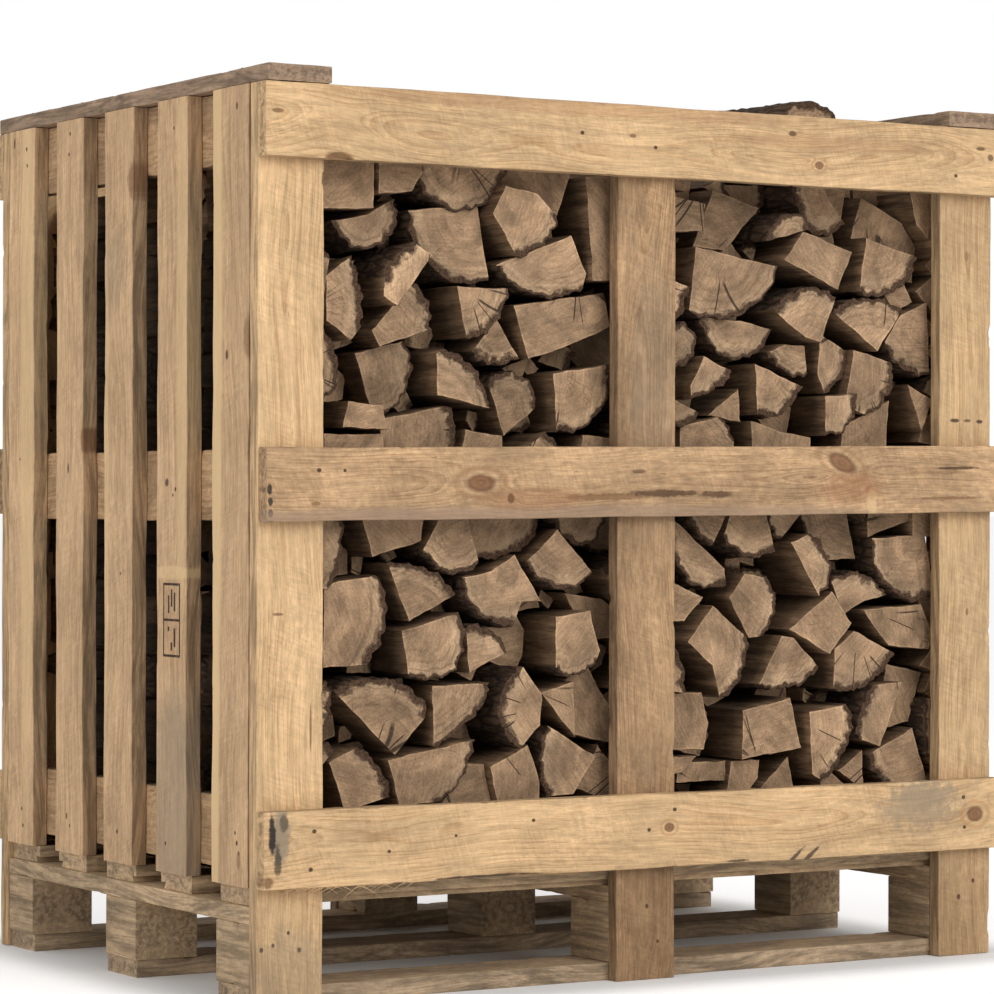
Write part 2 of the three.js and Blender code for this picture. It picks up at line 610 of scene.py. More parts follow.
        rag = graph.noise(graph.combine(u, v, 0.5), 85.0, 5.0, 0.72)
        for spot, reach in zip(spots, reaches):
            torn = graph.times_plus(rag, 2.0 * spot.ragged, reach)
            cover = graph.step(torn, 1.1 + spot.ragged * 1.1, 0.7 + spot.ragged * 0.9, 0.0, spot.strength)
            if spot.ringed:
                rings = graph.math("SINE", graph.times_plus(rag, 4.0, graph.times(reach, 13.0)))
                shade = graph.step(rings, -1.0, 1.0, 0.82, 1.18)
                heart = graph.mix(graph.step(reach, 0.95, 0.6), srgb(76, 48, 30), spot.tint.value)
                halo = graph.step(graph.magnitude(graph.minus(torn, 1.65)), 0.4, 0.0,
                                  0.0, 0.5)
                colour = graph.mix(halo, colour, self.dark)
                colour = graph.mix(cover, colour, graph.shade(heart, shade))
            else:
                colour = graph.mix(cover, colour, spot.tint.value)
        if stamp is not None:
            mark = graph.times(stamp.cover(graph, face), graph.step(rag, 0.3, 0.5, 0.75, 0.97))
            colour = graph.mix(mark, colour, Tint.INK.value)

        # Painted shade: the wood gets darker towards the floor, below about 0.3 m, patchy with the cloud
        # noise.
        low = graph.separate(graph.place())[2]
        floor_shade_height = graph.times_plus(cloud, 0.12, low)
        colour = graph.shade(colour, graph.step(floor_shade_height, 0.03, 0.3, 0.84, 1.0))

        height = graph.relief((fibre, 0.5), (saw, 1.1 * self.sawn), (streak, 0.6), (late, 0.25))
        return graph.finish(colour, height, 0.82, 0.0014)


PINE = TimberFinish(
    "pine", "pine", srgb(220, 184, 139), srgb(176, 130, 84), srgb(160, 132, 102),
    weathering=0.06, ring=5.0, contrast=0.55, sawn=0.24, speckle=0.35, mottle=0.3,
)
SLAT_PINE = TimberFinish(
    "slat_pine", "pine", srgb(212, 176, 136), srgb(172, 130, 90), srgb(160, 134, 106),
    weathering=0.1, ring=6.0, contrast=0.4, sawn=0.2, speckle=0.35, mottle=0.3,
)
PINE_AGED = TimberFinish(
    "pine_aged", "pine_aged", srgb(192, 157, 119), srgb(142, 106, 72), srgb(138, 118, 96),
    weathering=0.25, ring=4.4, contrast=0.55, sawn=0.3, speckle=0.6, mottle=0.6,
)
PALLET = TimberFinish(
    "pallet_wood", "pallet_wood", srgb(212, 182, 144), srgb(168, 136, 102), srgb(152, 134, 112),
    weathering=0.3, ring=4.8, contrast=0.5, sawn=0.3, speckle=0.5, mottle=0.5,
)
PALLET_DARK = TimberFinish(
    "pallet_dark", "pallet_dark", srgb(206, 178, 144), srgb(160, 131, 101), srgb(148, 131, 111),
    weathering=0.35, ring=4.4, contrast=0.45, sawn=0.3, speckle=0.6, mottle=0.6,
)
CAP_WOOD = TimberFinish(
    "cap_wood", "cap_wood", srgb(172, 144, 118), srgb(126, 100, 78), srgb(136, 118, 102),
    weathering=0.5, ring=4.4, contrast=0.45, sawn=0.25, speckle=0.5, mottle=0.5,
)


# ---------------------------------------------------------------------------
# Meshes from arrays
# ---------------------------------------------------------------------------


@dataclass
class Surface:
    """Vertices, faces and the numbers that ride on them, ready to become a mesh.

    Attributes:
        points: Vertex positions, one row each.
        quads: Faces of four corners.
        triangles: Faces of three corners.
        vectors: Vector attributes on the vertices.
        values: Number attributes on the vertices.
        face_values: Number attributes on the faces, quads first.
    """

    points: np.ndarray
    quads: np.ndarray
    triangles: np.ndarray
    vectors: dict[str, np.ndarray] = field(default_factory=dict)
    values: dict[str, np.ndarray] = field(default_factory=dict)
    face_values: dict[str, np.ndarray] = field(default_factory=dict)

    def volume(self) -> float:
        """Return six times the closed surface's signed volume.

        Returns:
            The number, positive where the faces point outwards.
        """
        p = self.points
        q = self.quads
        tris = np.concatenate([self.triangles, q[:, [0, 1, 2]], q[:, [0, 2, 3]]])
        a, b, c = p[tris[:, 0]], p[tris[:, 1]], p[tris[:, 2]]
        return float(np.einsum("ij,ij->", a, np.cross(b, c)))

    def outward(self) -> "Surface":
        """Turn every face round if they point inwards.

        Returns:
            The surface itself.
        """
        if self.volume() < 0.0:
            self.quads = self.quads[:, ::-1]
            self.triangles = self.triangles[:, ::-1]
        return self


def join(surfaces: list[Surface]) -> Surface:
    """Join surfaces into one, face groups and attributes kept in step.

    Args:
        surfaces: The surfaces, with the same attributes.

    Returns:
        One surface that holds them all.
    """
    starts = np.cumsum([0] + [len(s.points) for s in surfaces[:-1]])
    first = surfaces[0]
    quad_part = {
        key: [s.face_values[key][: len(s.quads)] for s in surfaces] for key in first.face_values
    }
    tri_part = {
        key: [s.face_values[key][len(s.quads):] for s in surfaces] for key in first.face_values
    }
    return Surface(
        np.concatenate([s.points for s in surfaces]),
        np.concatenate([s.quads + k for s, k in zip(surfaces, starts)]),
        np.concatenate([s.triangles + k for s, k in zip(surfaces, starts)]),
        {key: np.concatenate([s.vectors[key] for s in surfaces]) for key in first.vectors},
        {key: np.concatenate([s.values[key] for s in surfaces]) for key in first.values},
        {key: np.concatenate(quad_part[key] + tri_part[key]) for key in first.face_values},
    )


def tube_faces(rows: int, count: int) -> np.ndarray:
    """Return the faces of a tube: a closed ring of points at each of its stations.

    Args:
        rows: How many stations there are.
        count: How many points each ring has.

    Returns:
        Faces of four corners.
    """
    ring = np.arange(count)
    a = np.arange(rows - 1)[:, None] * count + ring[None, :]
    b = np.arange(rows - 1)[:, None] * count + (ring[None, :] + 1) % count
    return np.stack([a, b, b + count, a + count], -1).reshape(-1, 4)


def make_piece(
    name: str, surface: Surface, material: bpy.types.Material, nodes: tuple[str, ...],
    crease: float = 32.0,
) -> bpy.types.Object:
    """Make a surface into an object that rides on the crate and stands for CAD nodes.

    Args:
        name: The piece's name.
        surface: Its surface.
        material: Its material.
        nodes: The CAD nodes it stands for.
        crease: Edges sharper than this many degrees stay sharp.

    Returns:
        The object.
    """
    mesh = bpy.data.meshes.new(name)
    quads = surface.quads
    triangles = surface.triangles
    corners = np.concatenate([quads.ravel(), triangles.ravel()]).astype(np.int32)
    starts = np.concatenate([
        np.arange(len(quads)) * 4, len(quads) * 4 + np.arange(len(triangles)) * 3,
    ]).astype(np.int32)
    mesh.vertices.add(len(surface.points))
    mesh.vertices.foreach_set("co", surface.points.astype(np.float32).ravel())
    mesh.loops.add(len(corners))
    mesh.loops.foreach_set("vertex_index", corners)
    mesh.polygons.add(len(starts))
    mesh.polygons.foreach_set("loop_start", starts)
    mesh.update(calc_edges=True)
    mesh.polygons.foreach_set("use_smooth", np.ones(len(starts), dtype=bool))
    for kind, domain, part, layers in (
        ("FLOAT_VECTOR", "POINT", "vector", surface.vectors),
        ("FLOAT", "POINT", "value", surface.values),
        ("FLOAT", "FACE", "value", surface.face_values),
    ):
        for key, data in layers.items():
            layer = mesh.attributes.new(key, kind, domain)
            layer.data.foreach_set(part, data.astype(np.float32).ravel())
    mesh.set_sharp_from_angle(angle=math.radians(crease))
    mesh.materials.append(material)
    piece = bpy.data.objects.new(name, mesh)
    bpy.context.scene.collection.objects.link(piece)
    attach(piece, ROOT)
    if nodes:
        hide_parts(*nodes)
    LOG.info("%s: %d faces", name, len(starts))
    return piece


def ripple(position: np.ndarray, seed: int, scale: float, octaves: int = 4) -> np.ndarray:
    """Return smooth noise between about -1 and 1 along a line or over a grid.

    Each octave is a sine of the position at a seeded, uneven frequency and phase, 0.6 times as
    strong as the octave before it.

    Args:
        position: Where the noise is read, in metres.
        seed: Which noise.
        scale: Cycles in a metre at the first octave.
        octaves: How many octaves.

    Returns:
        The noise, in the position's shape.
    """
    rng = np.random.default_rng(seed)
    total = np.zeros_like(position, dtype=float)
    for octave in range(octaves):
        rate = scale * (1.9 ** octave) * rng.uniform(0.8, 1.25)
        phase = rng.uniform(0.0, math.tau)
        total += np.sin(math.tau * rate * position + phase) * 0.6 ** octave
    return total / 1.6


# ---------------------------------------------------------------------------
# Sawn boards
# ---------------------------------------------------------------------------


@dataclass(frozen=True)
class Wane:
    """A bark-side bevel along one long edge of a board.

    Attributes:
        corner: Which edge, 0 to 3, going round from low width and low thickness.
        size: The bevel's size in mm.
        start: Where it starts along the board, in mm from the middle.
        end: Where it ends.
    """

    corner: int
    size: float
    start: float = -2000.0
    end: float = 2000.0


@dataclass(frozen=True)
class Board:
    """A rough-sawn board cut to a CAD node's box.

    Attributes:
        node: The CAD node it stands for.
        finish: Its timber finish.
        seed: Which piece of wood it is.
        step: Distance between stations along it, in mm.
        tone: How light it is, 0 to 1.
        pith: Place of the trunk's pith across and behind the board, in mm.
        drift: How far the pith wanders along the board, in mm.
        chips: Size of the chips along its edges, in mm.
        wave: How far its long edges wave in and out, in mm.
        tilt: Turn about Y, in radians, for a board that is nailed on askew.
        trim: Its length and width in mm, where it is tilted.
        spots: Its knots, stains and nail holes.
        wanes: Its bevels.
        tint: Colour its wood is multiplied by.
        stamp: Framed marks stamped on it.
        axis: The box's axis that the grain follows, or None for its longest.
    """

    node: str
    finish: TimberFinish
    seed: int
    step: float = 8.0
    tone: float = 0.5
    pith: tuple[float, float] = (8.0, 46.0)
    drift: float = 16.0
    chips: float = 1.2
    tilt: float = 0.0
    trim: tuple[float, float] | None = None
    spots: tuple[Spot, ...] = ()
    wanes: tuple[Wane, ...] = ()
    tint: tuple[float, ...] = (1.0, 1.0, 1.0, 1.0)
    stamp: Stamp | None = None
    wave: float = 0.8
    axis: int | None = None

    ACROSS_WIDTH = 12
    ACROSS_THICKNESS = 4
    EASE = 1.0

    def profile(self, width: float, thickness: float) -> tuple[np.ndarray, np.ndarray, np.ndarray]:
        """Return the section's outline, which of its points sit at each corner, and its narrow sides.

        The outline is a rectangle with each corner eased by a small bevel, as points along the
        width and the thickness.

        Args:
            width: The board's width in metres.
            thickness: Its thickness in metres.

        Returns:
            Points as rows of width and thickness, the corner of each, or -1, and 1 on a narrow side.
        """
        w, t, ease = width / 2, thickness / 2, self.EASE * MM
        corners = np.array([[-w, -t], [w, -t], [w, t], [-w, t]])
        counts = (self.ACROSS_WIDTH, self.ACROSS_THICKNESS) * 2
        points, marks, narrow = [], [], []
        for k, count in enumerate(counts):
            a, b = corners[k], corners[(k + 1) % 4]
            way = (b - a) / np.linalg.norm(b - a)
            share = np.linspace(0.0, 1.0, count)[:, None]
            line = (a + way * ease) * (1 - share) + (b - way * ease) * share
            points.append(line)
            mark = np.full(count, -1)
            mark[0], mark[-1] = k, (k + 1) % 4
            marks.append(mark)
            narrow.append(np.full(count, float(k % 2)))
        return np.concatenate(points), np.concatenate(marks), np.concatenate(narrow)

    def surface(self, low: np.ndarray, high: np.ndarray) -> Surface:
        """Return the board's closed surface.

        A grid of the section's outline against stations along the board. Its edges are chipped
        inwards by the peaks of a noise along the board, and its faces wander by a fraction of a
        millimetre. Both ends close on a middle point.

        Args:
            low: The box's lowest corner, in metres.
            high: The box's highest corner.

        Returns:
            The surface, with its grain, face and tone attributes.
        """
        size, centre = high - low, (high + low) / 2
        order = np.argsort(-size)
        long_axis = int(order[0]) if self.axis is None else self.axis
        rest = [int(k) for k in order if k != long_axis]
        wide_axis, thick_axis = rest[0], rest[1]
        length, width, thickness = size[long_axis], size[wide_axis], size[thick_axis]
        if self.trim is not None:
            length, width = self.trim[0] * MM, self.trim[1] * MM

        outline, marks, narrow = self.profile(width, thickness)
        stations = np.linspace(-length / 2, length / 2, max(4, int(length / (self.step * MM))))
        w = np.repeat(outline[None, :, 0], len(stations), 0)
        t = np.repeat(outline[None, :, 1], len(stations), 0)
        along = np.repeat(stations[:, None], len(outline), 1)

        rng = np.random.default_rng(self.seed)
        for corner in range(4):
            peaks = ripple(stations, self.seed * 7 + corner, 5.0, 6) - rng.uniform(0.6, 0.95)
            chip = np.clip(peaks, 0.0, 1.0) * self.chips * MM * 2.2
            for wane in self.wanes:
                if wane.corner == corner:
                    ends_away = np.minimum(stations - wane.start * MM, wane.end * MM - stations)
                    ease = np.clip(ends_away / (0.35 * (min(wane.end - wane.start, 120.0)) * MM), 0.0, 1.0)
                    rough = 1.0 + 0.22 * ripple(stations, self.seed + 91, 8.0)
                    chip = np.maximum(chip, wane.size * MM * rough * np.sqrt(ease))
            for index in np.flatnonzero(marks == corner):
                w[:, index] -= np.sign(outline[index, 0]) * chip
                t[:, index] -= np.sign(outline[index, 1]) * chip * min(1.0, thickness / width * 3)
        wander = 0.35 * MM
        w -= np.sign(w) * wander * (1 + ripple(stations, self.seed + 3, 2.5)[:, None])
        for side in (-1.0, 1.0):
            swing = np.clip(0.5 + 0.5 * ripple(stations, self.seed + int(40 + side), 2.2, 3), 0.0, 1.0)
            w -= np.where(w * side > 0, side, 0.0) * self.wave * MM * swing[:, None]
        t -= np.sign(t) * wander * (1 + ripple(along + w * 3, self.seed + 5, 6.0)) * 0.6
        skew = rng.uniform(-0.012, 0.012, 2)
        ends = np.zeros_like(along)
        ends[0], ends[-1] = 1.0, 1.0
        inset = 0.5 * MM + np.abs(w) * abs(skew[0]) + 0.25 * MM * ripple(w[0], self.seed + 11, 60.0)
        along = along - np.sign(along) * ends * np.abs(inset)

        count, rows = len(outline), len(stations)
        quads = tube_faces(rows, count)
        tips = rows * count
        ring = np.arange(count)
        nxt = (ring + 1) % count
        head = np.stack([nxt, ring, np.full(count, tips)], -1)
        tail = np.stack([ring + (rows - 1) * count, nxt + (rows - 1) * count,
                         np.full(count, tips + 1)], -1)

        l_all = np.concatenate([along.ravel(), [along[0].mean(), along[-1].mean()]])
        w_all = np.concatenate([w.ravel(), [0.0, 0.0]])
        t_all = np.concatenate([t.ravel(), [0.0, 0.0]])
        points = np.zeros((len(l_all), 3))
        points[:, long_axis], points[:, wide_axis], points[:, thick_axis] = l_all, w_all, t_all
        if self.tilt:
            cos, sin = math.cos(self.tilt), math.sin(self.tilt)
            x, z = points[:, 0].copy(), points[:, 2].copy()
            points[:, 0], points[:, 2] = x * cos - z * sin, x * sin + z * cos
        points += centre

        pith_w = self.pith[0] * MM + self.drift * MM * ripple(l_all, self.seed + 21, 0.8, 3)
        pith_t = self.pith[1] * MM + self.drift * MM * ripple(l_all, self.seed + 23, 0.9, 3)
        offset = rng.uniform(0.0, 40.0)
        grain = np.stack([w_all - pith_w, l_all + offset, t_all + pith_t], -1)
        face = np.stack([l_all, w_all, t_all], -1)
        return Surface(
            points, quads, np.concatenate([head, tail]),
            {"grain": grain, "face": face},
            {
                "tone": np.full(len(points), self.tone),
                "narrow": np.concatenate([np.tile(narrow, len(stations)), [1.0, 1.0]]),
            },
        ).outward()

    def build(self) -> bpy.types.Object:
        """Cut the board and dress it.

        Returns:
            Its object.
        """
        low, high = (np.array(corner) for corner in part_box(self.node))
        own = bool(self.spots or self.tint != (1.0, 1.0, 1.0, 1.0))
        if own:
            material = self.finish.material(f"{self.node}_timber", self.spots, self.tint, self.stamp)
        else:
            material = shared_timber(self.finish)
        name = f"{self.node}_sawn"
        return make_piece(name, self.surface(low, high), material, (self.node,))


SHARED_TIMBER: dict[str, bpy.types.Material] = {}


def shared_timber(finish: TimberFinish) -> bpy.types.Material:
    """Return the plain material of a finish, made once.

    Args:
        finish: The finish.

    Returns:
        Its material, shared by the boards that have no knots or stains of their own.
    """
    if finish.name not in SHARED_TIMBER:
        SHARED_TIMBER[finish.name] = finish.material(f"{finish.name}_timber")
    return SHARED_TIMBER[finish.name]


# ---------------------------------------------------------------------------
# Firewood finishes
# ---------------------------------------------------------------------------


@dataclass(frozen=True)
class CutEnd:
    """The sawn end of a split log: rings, drying checks, saw marks and bark round its bow.

    Attributes:
        wood: Colour of the middle.
        rim: Colour of the sapwood just under the bark.
        late: Colour of the late wood in each ring.
        bark: Colour of the bark's edge.
        check: Colour of the drying checks.
    """

    wood: tuple[float, ...] = srgb(170, 139, 108)
    rim: tuple[float, ...] = srgb(180, 150, 118)
    late: tuple[float, ...] = srgb(122, 94, 68)
    bark: tuple[float, ...] = srgb(82, 61, 45)
    check: tuple[float, ...] = srgb(44, 32, 24)

    def material(self) -> bpy.types.Material:
        """Build the finish as a material.

        Returns:
            The material.
        """
        graph = Graph("log_cut_end")
        a, along, b = graph.separate(graph.point("grain"))
        tone = graph.value("tone")
        edge = graph.value("edge")
        hem = graph.value("hem")
        seed = graph.times(along, 1.7)
        flat = graph.combine(a, b, seed)
        radius = graph.vector("LENGTH", graph.combine(a, b, 0.0))
        angle = graph.math("ARCTAN2", b, a)

        wobble = graph.noise(flat, 24.0, 4.0, 0.6)
        ring_at = graph.times_plus(wobble, 0.024, radius)
        width = graph.noise(graph.combine(ring_at, seed, 0.0), 42.0, 3.0)
        turns = graph.times_plus(width, 3.0, graph.times(ring_at, 135.0))
        late = graph.math("POWER", graph.math("FRACT", turns), 2.4)
        share = graph.noise(flat, 14.0, 3.0)
        late = graph.times(late, graph.step(share, 0.4, 0.66, 0.0, 0.42))
        bands = graph.noise(graph.combine(ring_at, seed, 4.0), 55.0, 2.0, 0.6)

        rays = graph.combine(graph.times(angle, 7.0), graph.times(radius, 9.0), seed)
        ray = graph.times(graph.cells(rays, 1.0, "DISTANCE_TO_EDGE"), radius)
        check = graph.step(ray, 0.0022, 0.0006)
        where = graph.noise(flat, 21.0, 3.0)
        check = graph.times(check, graph.step(where, 0.56, 0.7, 0.0, 0.4))
        big = graph.combine(graph.times(angle, 1.6), graph.times(radius, 2.2), seed)
        big_ray = graph.times(graph.cells(big, 1.0, "DISTANCE_TO_EDGE"), radius)
        split = graph.step(big_ray, 0.0012, 0.0004)
        split = graph.times(split, graph.step(graph.noise(flat, 8.0, 1.0), 0.58, 0.62))
        check = graph.larger(check, split)

        saw_way = graph.math("ADD", graph.times(a, 0.8), graph.times(b, 0.6))
        cross = graph.minus(graph.times(b, 0.8), graph.times(a, 0.6))
        saw = graph.noise(
            graph.combine(saw_way, graph.times(cross, 0.07), seed), 330.0, 3.0, 0.65)
        fuzz = graph.noise(flat, 380.0, 4.0, 0.72)
        blotch = graph.noise(flat, 19.0, 5.0, 0.66)
        grime = graph.noise(graph.combine(a, seed, b), 30.0, 6.0, 0.72)

        colour = graph.mix(graph.step(edge, 0.03, 0.008), self.wood, self.rim)
        colour = graph.mix(late, colour, self.late)
        follow = graph.times_plus(wobble, 0.012, edge)
        for at, strength in ((0.0165, 0.5), (0.027, 0.34), (0.041, 0.24)):
            off = graph.magnitude(graph.minus(follow, at))
            arc = graph.times(graph.step(off, 0.0022, 0.0003, 0.0, strength),
                             graph.step(share, 0.36, 0.56))
            colour = graph.mix(arc, colour, self.late)
        colour = graph.shades(
            colour, (bands, 0.3, 0.7, 0.82, 1.12), (blotch, 0.28, 0.72, 0.62, 1.2),
            (saw, 0.3, 0.7, 0.84, 1.13), (fuzz, 0.25, 0.75, 0.76, 1.2),
        )
        colour = graph.mix(graph.step(grime, 0.54, 0.74, 0.0, 0.5), colour, srgb(86, 72, 58))
        # The tone also holds painted shade behind the ends of low logs.
        colour = graph.shade(colour, graph.times_plus(tone, 0.5, 1.0))
        colour = graph.shade(colour, graph.step(hem, 0.0032, 0.0004, 1.0, 1.28))
        colour = graph.mix(graph.times(check, 0.85), colour, self.check)
        skin = graph.times_plus(graph.noise(flat, 95.0, 4.0, 0.7), 0.015, -0.0015)
        skin = graph.times(skin, graph.step(graph.noise(flat, 16.0, 2.0), 0.36, 0.64, 0.45, 1.35))
        depth_in = graph.math("DIVIDE", edge, skin)
        barked = graph.step(depth_in, 1.12, 0.9)
        flaky = graph.noise(flat, 330.0, 3.0, 0.7)
        crust = graph.shade(self.bark, graph.step(flaky, 0.3, 0.7, 0.4, 1.6))
        line = graph.step(graph.magnitude(graph.minus(depth_in, 1.2)), 0.2, 0.05, 0.0, 0.6)
        colour = graph.mix(line, colour, self.check)
        colour = graph.mix(barked, colour, crust)

        crumbs = graph.times(barked, flaky)
        height = graph.relief((fuzz, 0.4), (saw, 0.5), (blotch, 0.8), (check, -0.9), (crumbs, 1.2))
        return graph.finish(colour, height, 0.86, 0.002)


@dataclass(frozen=True)
class SplitFace:
    """The torn, fibrous side of a split log.

    Attributes:
        pale: Colour of fresh fibres.
        dark: Colour of weathered fibres.
    """

    pale: tuple[float, ...] = srgb(156, 125, 94)
    dark: tuple[float, ...] = srgb(94, 71, 52)

    def material(self) -> bpy.types.Material:
        """Build the finish as a material.

        Returns:
            The material.
        """
        graph = Graph("log_split_face")
        a, along, b = graph.separate(graph.point("grain"))
        tone = graph.value("tone")
        run = graph.combine(a, graph.times(along, 0.08), b)
        fine = graph.noise(run, 480.0, 4.0, 0.68)
        broad = graph.noise(run, 80.0, 4.0, 0.62, 0.5)
        cloud = graph.noise(graph.combine(a, along, b), 13.0, 5.0, 0.62)
        colour = graph.mix(graph.step(broad, 0.3, 0.72), self.dark, self.pale)
        colour = graph.shades(colour, (fine, 0.25, 0.75, 0.68, 1.22), (cloud, 0.3, 0.72, 0.66, 1.2))
        # The tone also holds painted shade behind the ends of low logs.
        colour = graph.shade(colour, graph.times_plus(tone, 0.35, 0.97))
        height = graph.times_plus(broad, 1.4, fine)
        return graph.finish(colour, height, 0.85, 0.003)


@dataclass(frozen=True)
class Bark:
    """Rough grey-brown bark, furrowed along the log.

    Attributes:
        ridge: Colour of the plates.
        furrow: Colour of the furrows.
        lichen: Colour of the pale crust in places.
    """

    ridge: tuple[float, ...] = srgb(126, 101, 78)
    furrow: tuple[float, ...] = srgb(66, 49, 37)
    lichen: tuple[float, ...] = srgb(140, 128, 106)

    def material(self) -> bpy.types.Material:
        """Build the finish as a material.

        Returns:
            The material.
        """
        graph = Graph("log_bark")
        a, along, b = graph.separate(graph.point("grain"))
        tone = graph.value("tone")
        run = graph.combine(a, graph.times(along, 0.32), b)
        plates = graph.cells(run, 74.0, "DISTANCE_TO_EDGE")
        furrow = graph.step(plates, 0.02, 0.22)
        rough = graph.noise(run, 240.0, 5.0, 0.7)
        broad = graph.noise(run, 36.0, 3.0, 0.6)
        cloud = graph.noise(graph.combine(a, along, b), 15.0, 4.0, 0.6)
        cover = graph.times(furrow, graph.step(rough, 0.2, 0.7, 0.35, 1.0))
        colour = graph.mix(cover, self.furrow, self.ridge)
        colour = graph.shade(colour, graph.step(broad, 0.3, 0.7, 0.72, 1.18))
        colour = graph.mix(graph.step(cloud, 0.62, 0.74, 0.0, 0.35), colour, self.lichen)
        # The tone also holds painted shade behind the ends of low logs.
        colour = graph.shade(colour, graph.times_plus(tone, 0.25, 0.95))
        height = graph.times_plus(cover, 1.6, rough)
        return graph.finish(colour, height, 0.92, 0.0035)


# ---------------------------------------------------------------------------
# Split logs
# ---------------------------------------------------------------------------


class Skin(Enum):
    """What a log's face is, as the place of its material."""

    CUT_END = 0
    SPLIT_FACE = 1
    BARK = 2


def bow_radius(chord: float, rise: float) -> float:
    """Return the radius of the arc that rises so far over a chord."""
    return (chord ** 2 / 4 + rise ** 2) / (2 * rise)


@dataclass(frozen=True)
class Split:
    """One split log, by the outline of its front end.

    Attributes:
        corners: Corners across and up, in mm, clockwise from the upper left.
        bark: The edges that are bark, each named by the corner it starts from.
        bulge: How far a bark edge bows out, as a share of its chord.
        back: How far the end is set back from the row's front, in mm.
        tone: How light the wood is, -1 to 1.
        LENGTH: The length over which a log's bend, turn and taper are given, in metres.
        BURIED: Below this height a log is darker behind its end, as painted shade, in metres.
        GAP_SHADE: How much darker such a log is, as painted shade deep between the logs.
    """

    corners: tuple[tuple[float, float], ...]
    bark: tuple[int, ...] = ()
    bulge: float = 0.12
    back: float = 10.0
    tone: float = 0.0

    LENGTH = 0.25
    BURIED = 1.04
    GAP_SHADE = 1.5

    def middle(self) -> np.ndarray:
        """Return the mean of the corners, in mm."""
        return np.array(self.corners, dtype=float).mean(0)

    def outline(self, count: int) -> tuple[np.ndarray, np.ndarray, np.ndarray]:
        """Return the outline, its outward normals, and which points are bark.

        A split edge is a straight line. A bark edge is an arc of the circle that has the edge as
        its chord and the bulge as its height. Each edge has points in proportion to its length, and
        bark has twice as many.

        Args:
            count: About how many points there are.

        Returns:
            Points in mm, unit normals, and a flag for the bark, one row for each point.
        """
        corners = np.array(self.corners, dtype=float)
        following = np.roll(corners, -1, 0)
        lengths = np.linalg.norm(following - corners, axis=1)
        shares = lengths * np.where(np.isin(np.arange(len(corners)), self.bark), 2.0 + self.bulge, 1.0)
        points, normals, flags = [], [], []
        for index, (start, end, length) in enumerate(zip(corners, following, lengths)):
            number = max(3, int(round(count * shares[index] / shares.sum())))
            share = np.arange(number) / number
            way = (end - start) / max(length, 1e-6)
            out = np.array([-way[1], way[0]])
            if index in self.bark and self.bulge > 0.01:
                rise = self.bulge * length
                radius = bow_radius(length, rise)
                swing = 2 * math.atan(2 * rise / length) * (2 * share - 1)
                centre = (start + end) / 2 + out * (rise - radius)
                normal = np.sin(swing)[:, None] * way + np.cos(swing)[:, None] * out
                points.append(centre + radius * normal)
                normals.append(normal)
            else:
                points.append(start + (end - start) * share[:, None])
                normals.append(np.repeat(out[None, :], number, 0))
            flags.append(np.full(number, index in self.bark))
        return np.concatenate(points), np.concatenate(normals), np.concatenate(flags)

    def pith(self, rng: np.random.Generator) -> np.ndarray:
        """Return the place of the trunk's pith: the middle of the bark's circle, or a guess.

        Args:
            rng: Random numbers for a log with no bark.

        Returns:
            The place in mm.
        """
        corners = np.array(self.corners, dtype=float)
        middle = corners.mean(0)
        if not self.bark:
            turn = rng.uniform(0.0, math.tau)
            return middle + rng.uniform(45.0, 95.0) * np.array([math.cos(turn), math.sin(turn)])
        edges = [(np.linalg.norm(corners[(k + 1) % len(corners)] - corners[k]), k) for k in self.bark]
        length, index = max(edges)
        start, end = corners[index], corners[(index + 1) % len(corners)]
        way = (end - start) / length
        out = np.array([-way[1], way[0]])
        rise = max(self.bulge, 0.06) * length
        radius = bow_radius(length, rise)
        return (start + end) / 2 + out * (rise - min(radius, 130.0))

    def surface(self, front: float, rear: float, seed: int, count: int = 44, stations: int = 8) -> Surface:
        """Return the log's closed surface.

        A grid of the outline against stations along the log. Ridges that run along the grain push
        the outline in and out, more on bark than on a split. The log bends and tapers a little,
        and its ends are cut a few degrees off square. Each end is closed by rings drawn in
        towards the middle.

        Args:
            front: The row's front, in metres.
            rear: The row's rear.
            seed: Which piece of wood it is.
            count: Points round the outline.
            stations: Stations along the log.

        Returns:
            The surface, with its grain, tone, edge, hem and skin. Its tone holds painted shade
            behind the ends of low logs.
        """
        rng = np.random.default_rng(seed)
        outline, normals, barked = self.outline(count)
        number = len(outline)
        outline, middle = outline * MM, outline.mean(0) * MM
        lap = np.cumsum(np.linalg.norm(outline - np.roll(outline, 1, 0), axis=1))
        inwards = 1.0 if rear > front else -1.0
        start = front + inwards * self.back * MM
        end = rear - inwards * rng.uniform(0.0, 14.0) * MM
        y = start + (end - start) * np.concatenate([[0.0, 0.006], np.linspace(0.1, 1.0, stations)])
        rows = len(y)
        depth = np.repeat(np.abs(y - start)[:, None], number, 1)
        ridge = ripple(lap[None, :] + 0.03 * depth, seed + 1, 14.0, 4)
        crumble = ripple(lap[None, :] + 0.22 * depth, seed + 2, 34.0, 3)
        crumble += 0.8 * np.abs(ripple(lap[None, :] + 0.4 * depth, seed + 4, 66.0, 2))
        ridge = ridge * np.where(barked, 1.0, 0.9) + crumble * np.where(barked, 1.2, 0.25)
        rough = np.where(barked, 2.0, 0.9) * MM
        push = ridge * rough[None, :] - np.where(np.arange(rows) == 0, 0.8, 0.0)[:, None] * MM
        points = outline[None] + normals[None] * push[..., None]
        grow = 1 + rng.uniform(-0.05, 0.05) * depth / self.LENGTH
        turn = rng.uniform(-0.035, 0.035) * depth / self.LENGTH
        bend = rng.uniform(-0.004, 0.004, 2) * (depth[..., None] / self.LENGTH) ** 2
        arm = (points - middle) * grow[..., None]
        x = middle[0] + arm[..., 0] * np.cos(turn) - arm[..., 1] * np.sin(turn) + bend[..., 0]
        z = middle[1] + arm[..., 0] * np.sin(turn) + arm[..., 1] * np.cos(turn) + bend[..., 1]

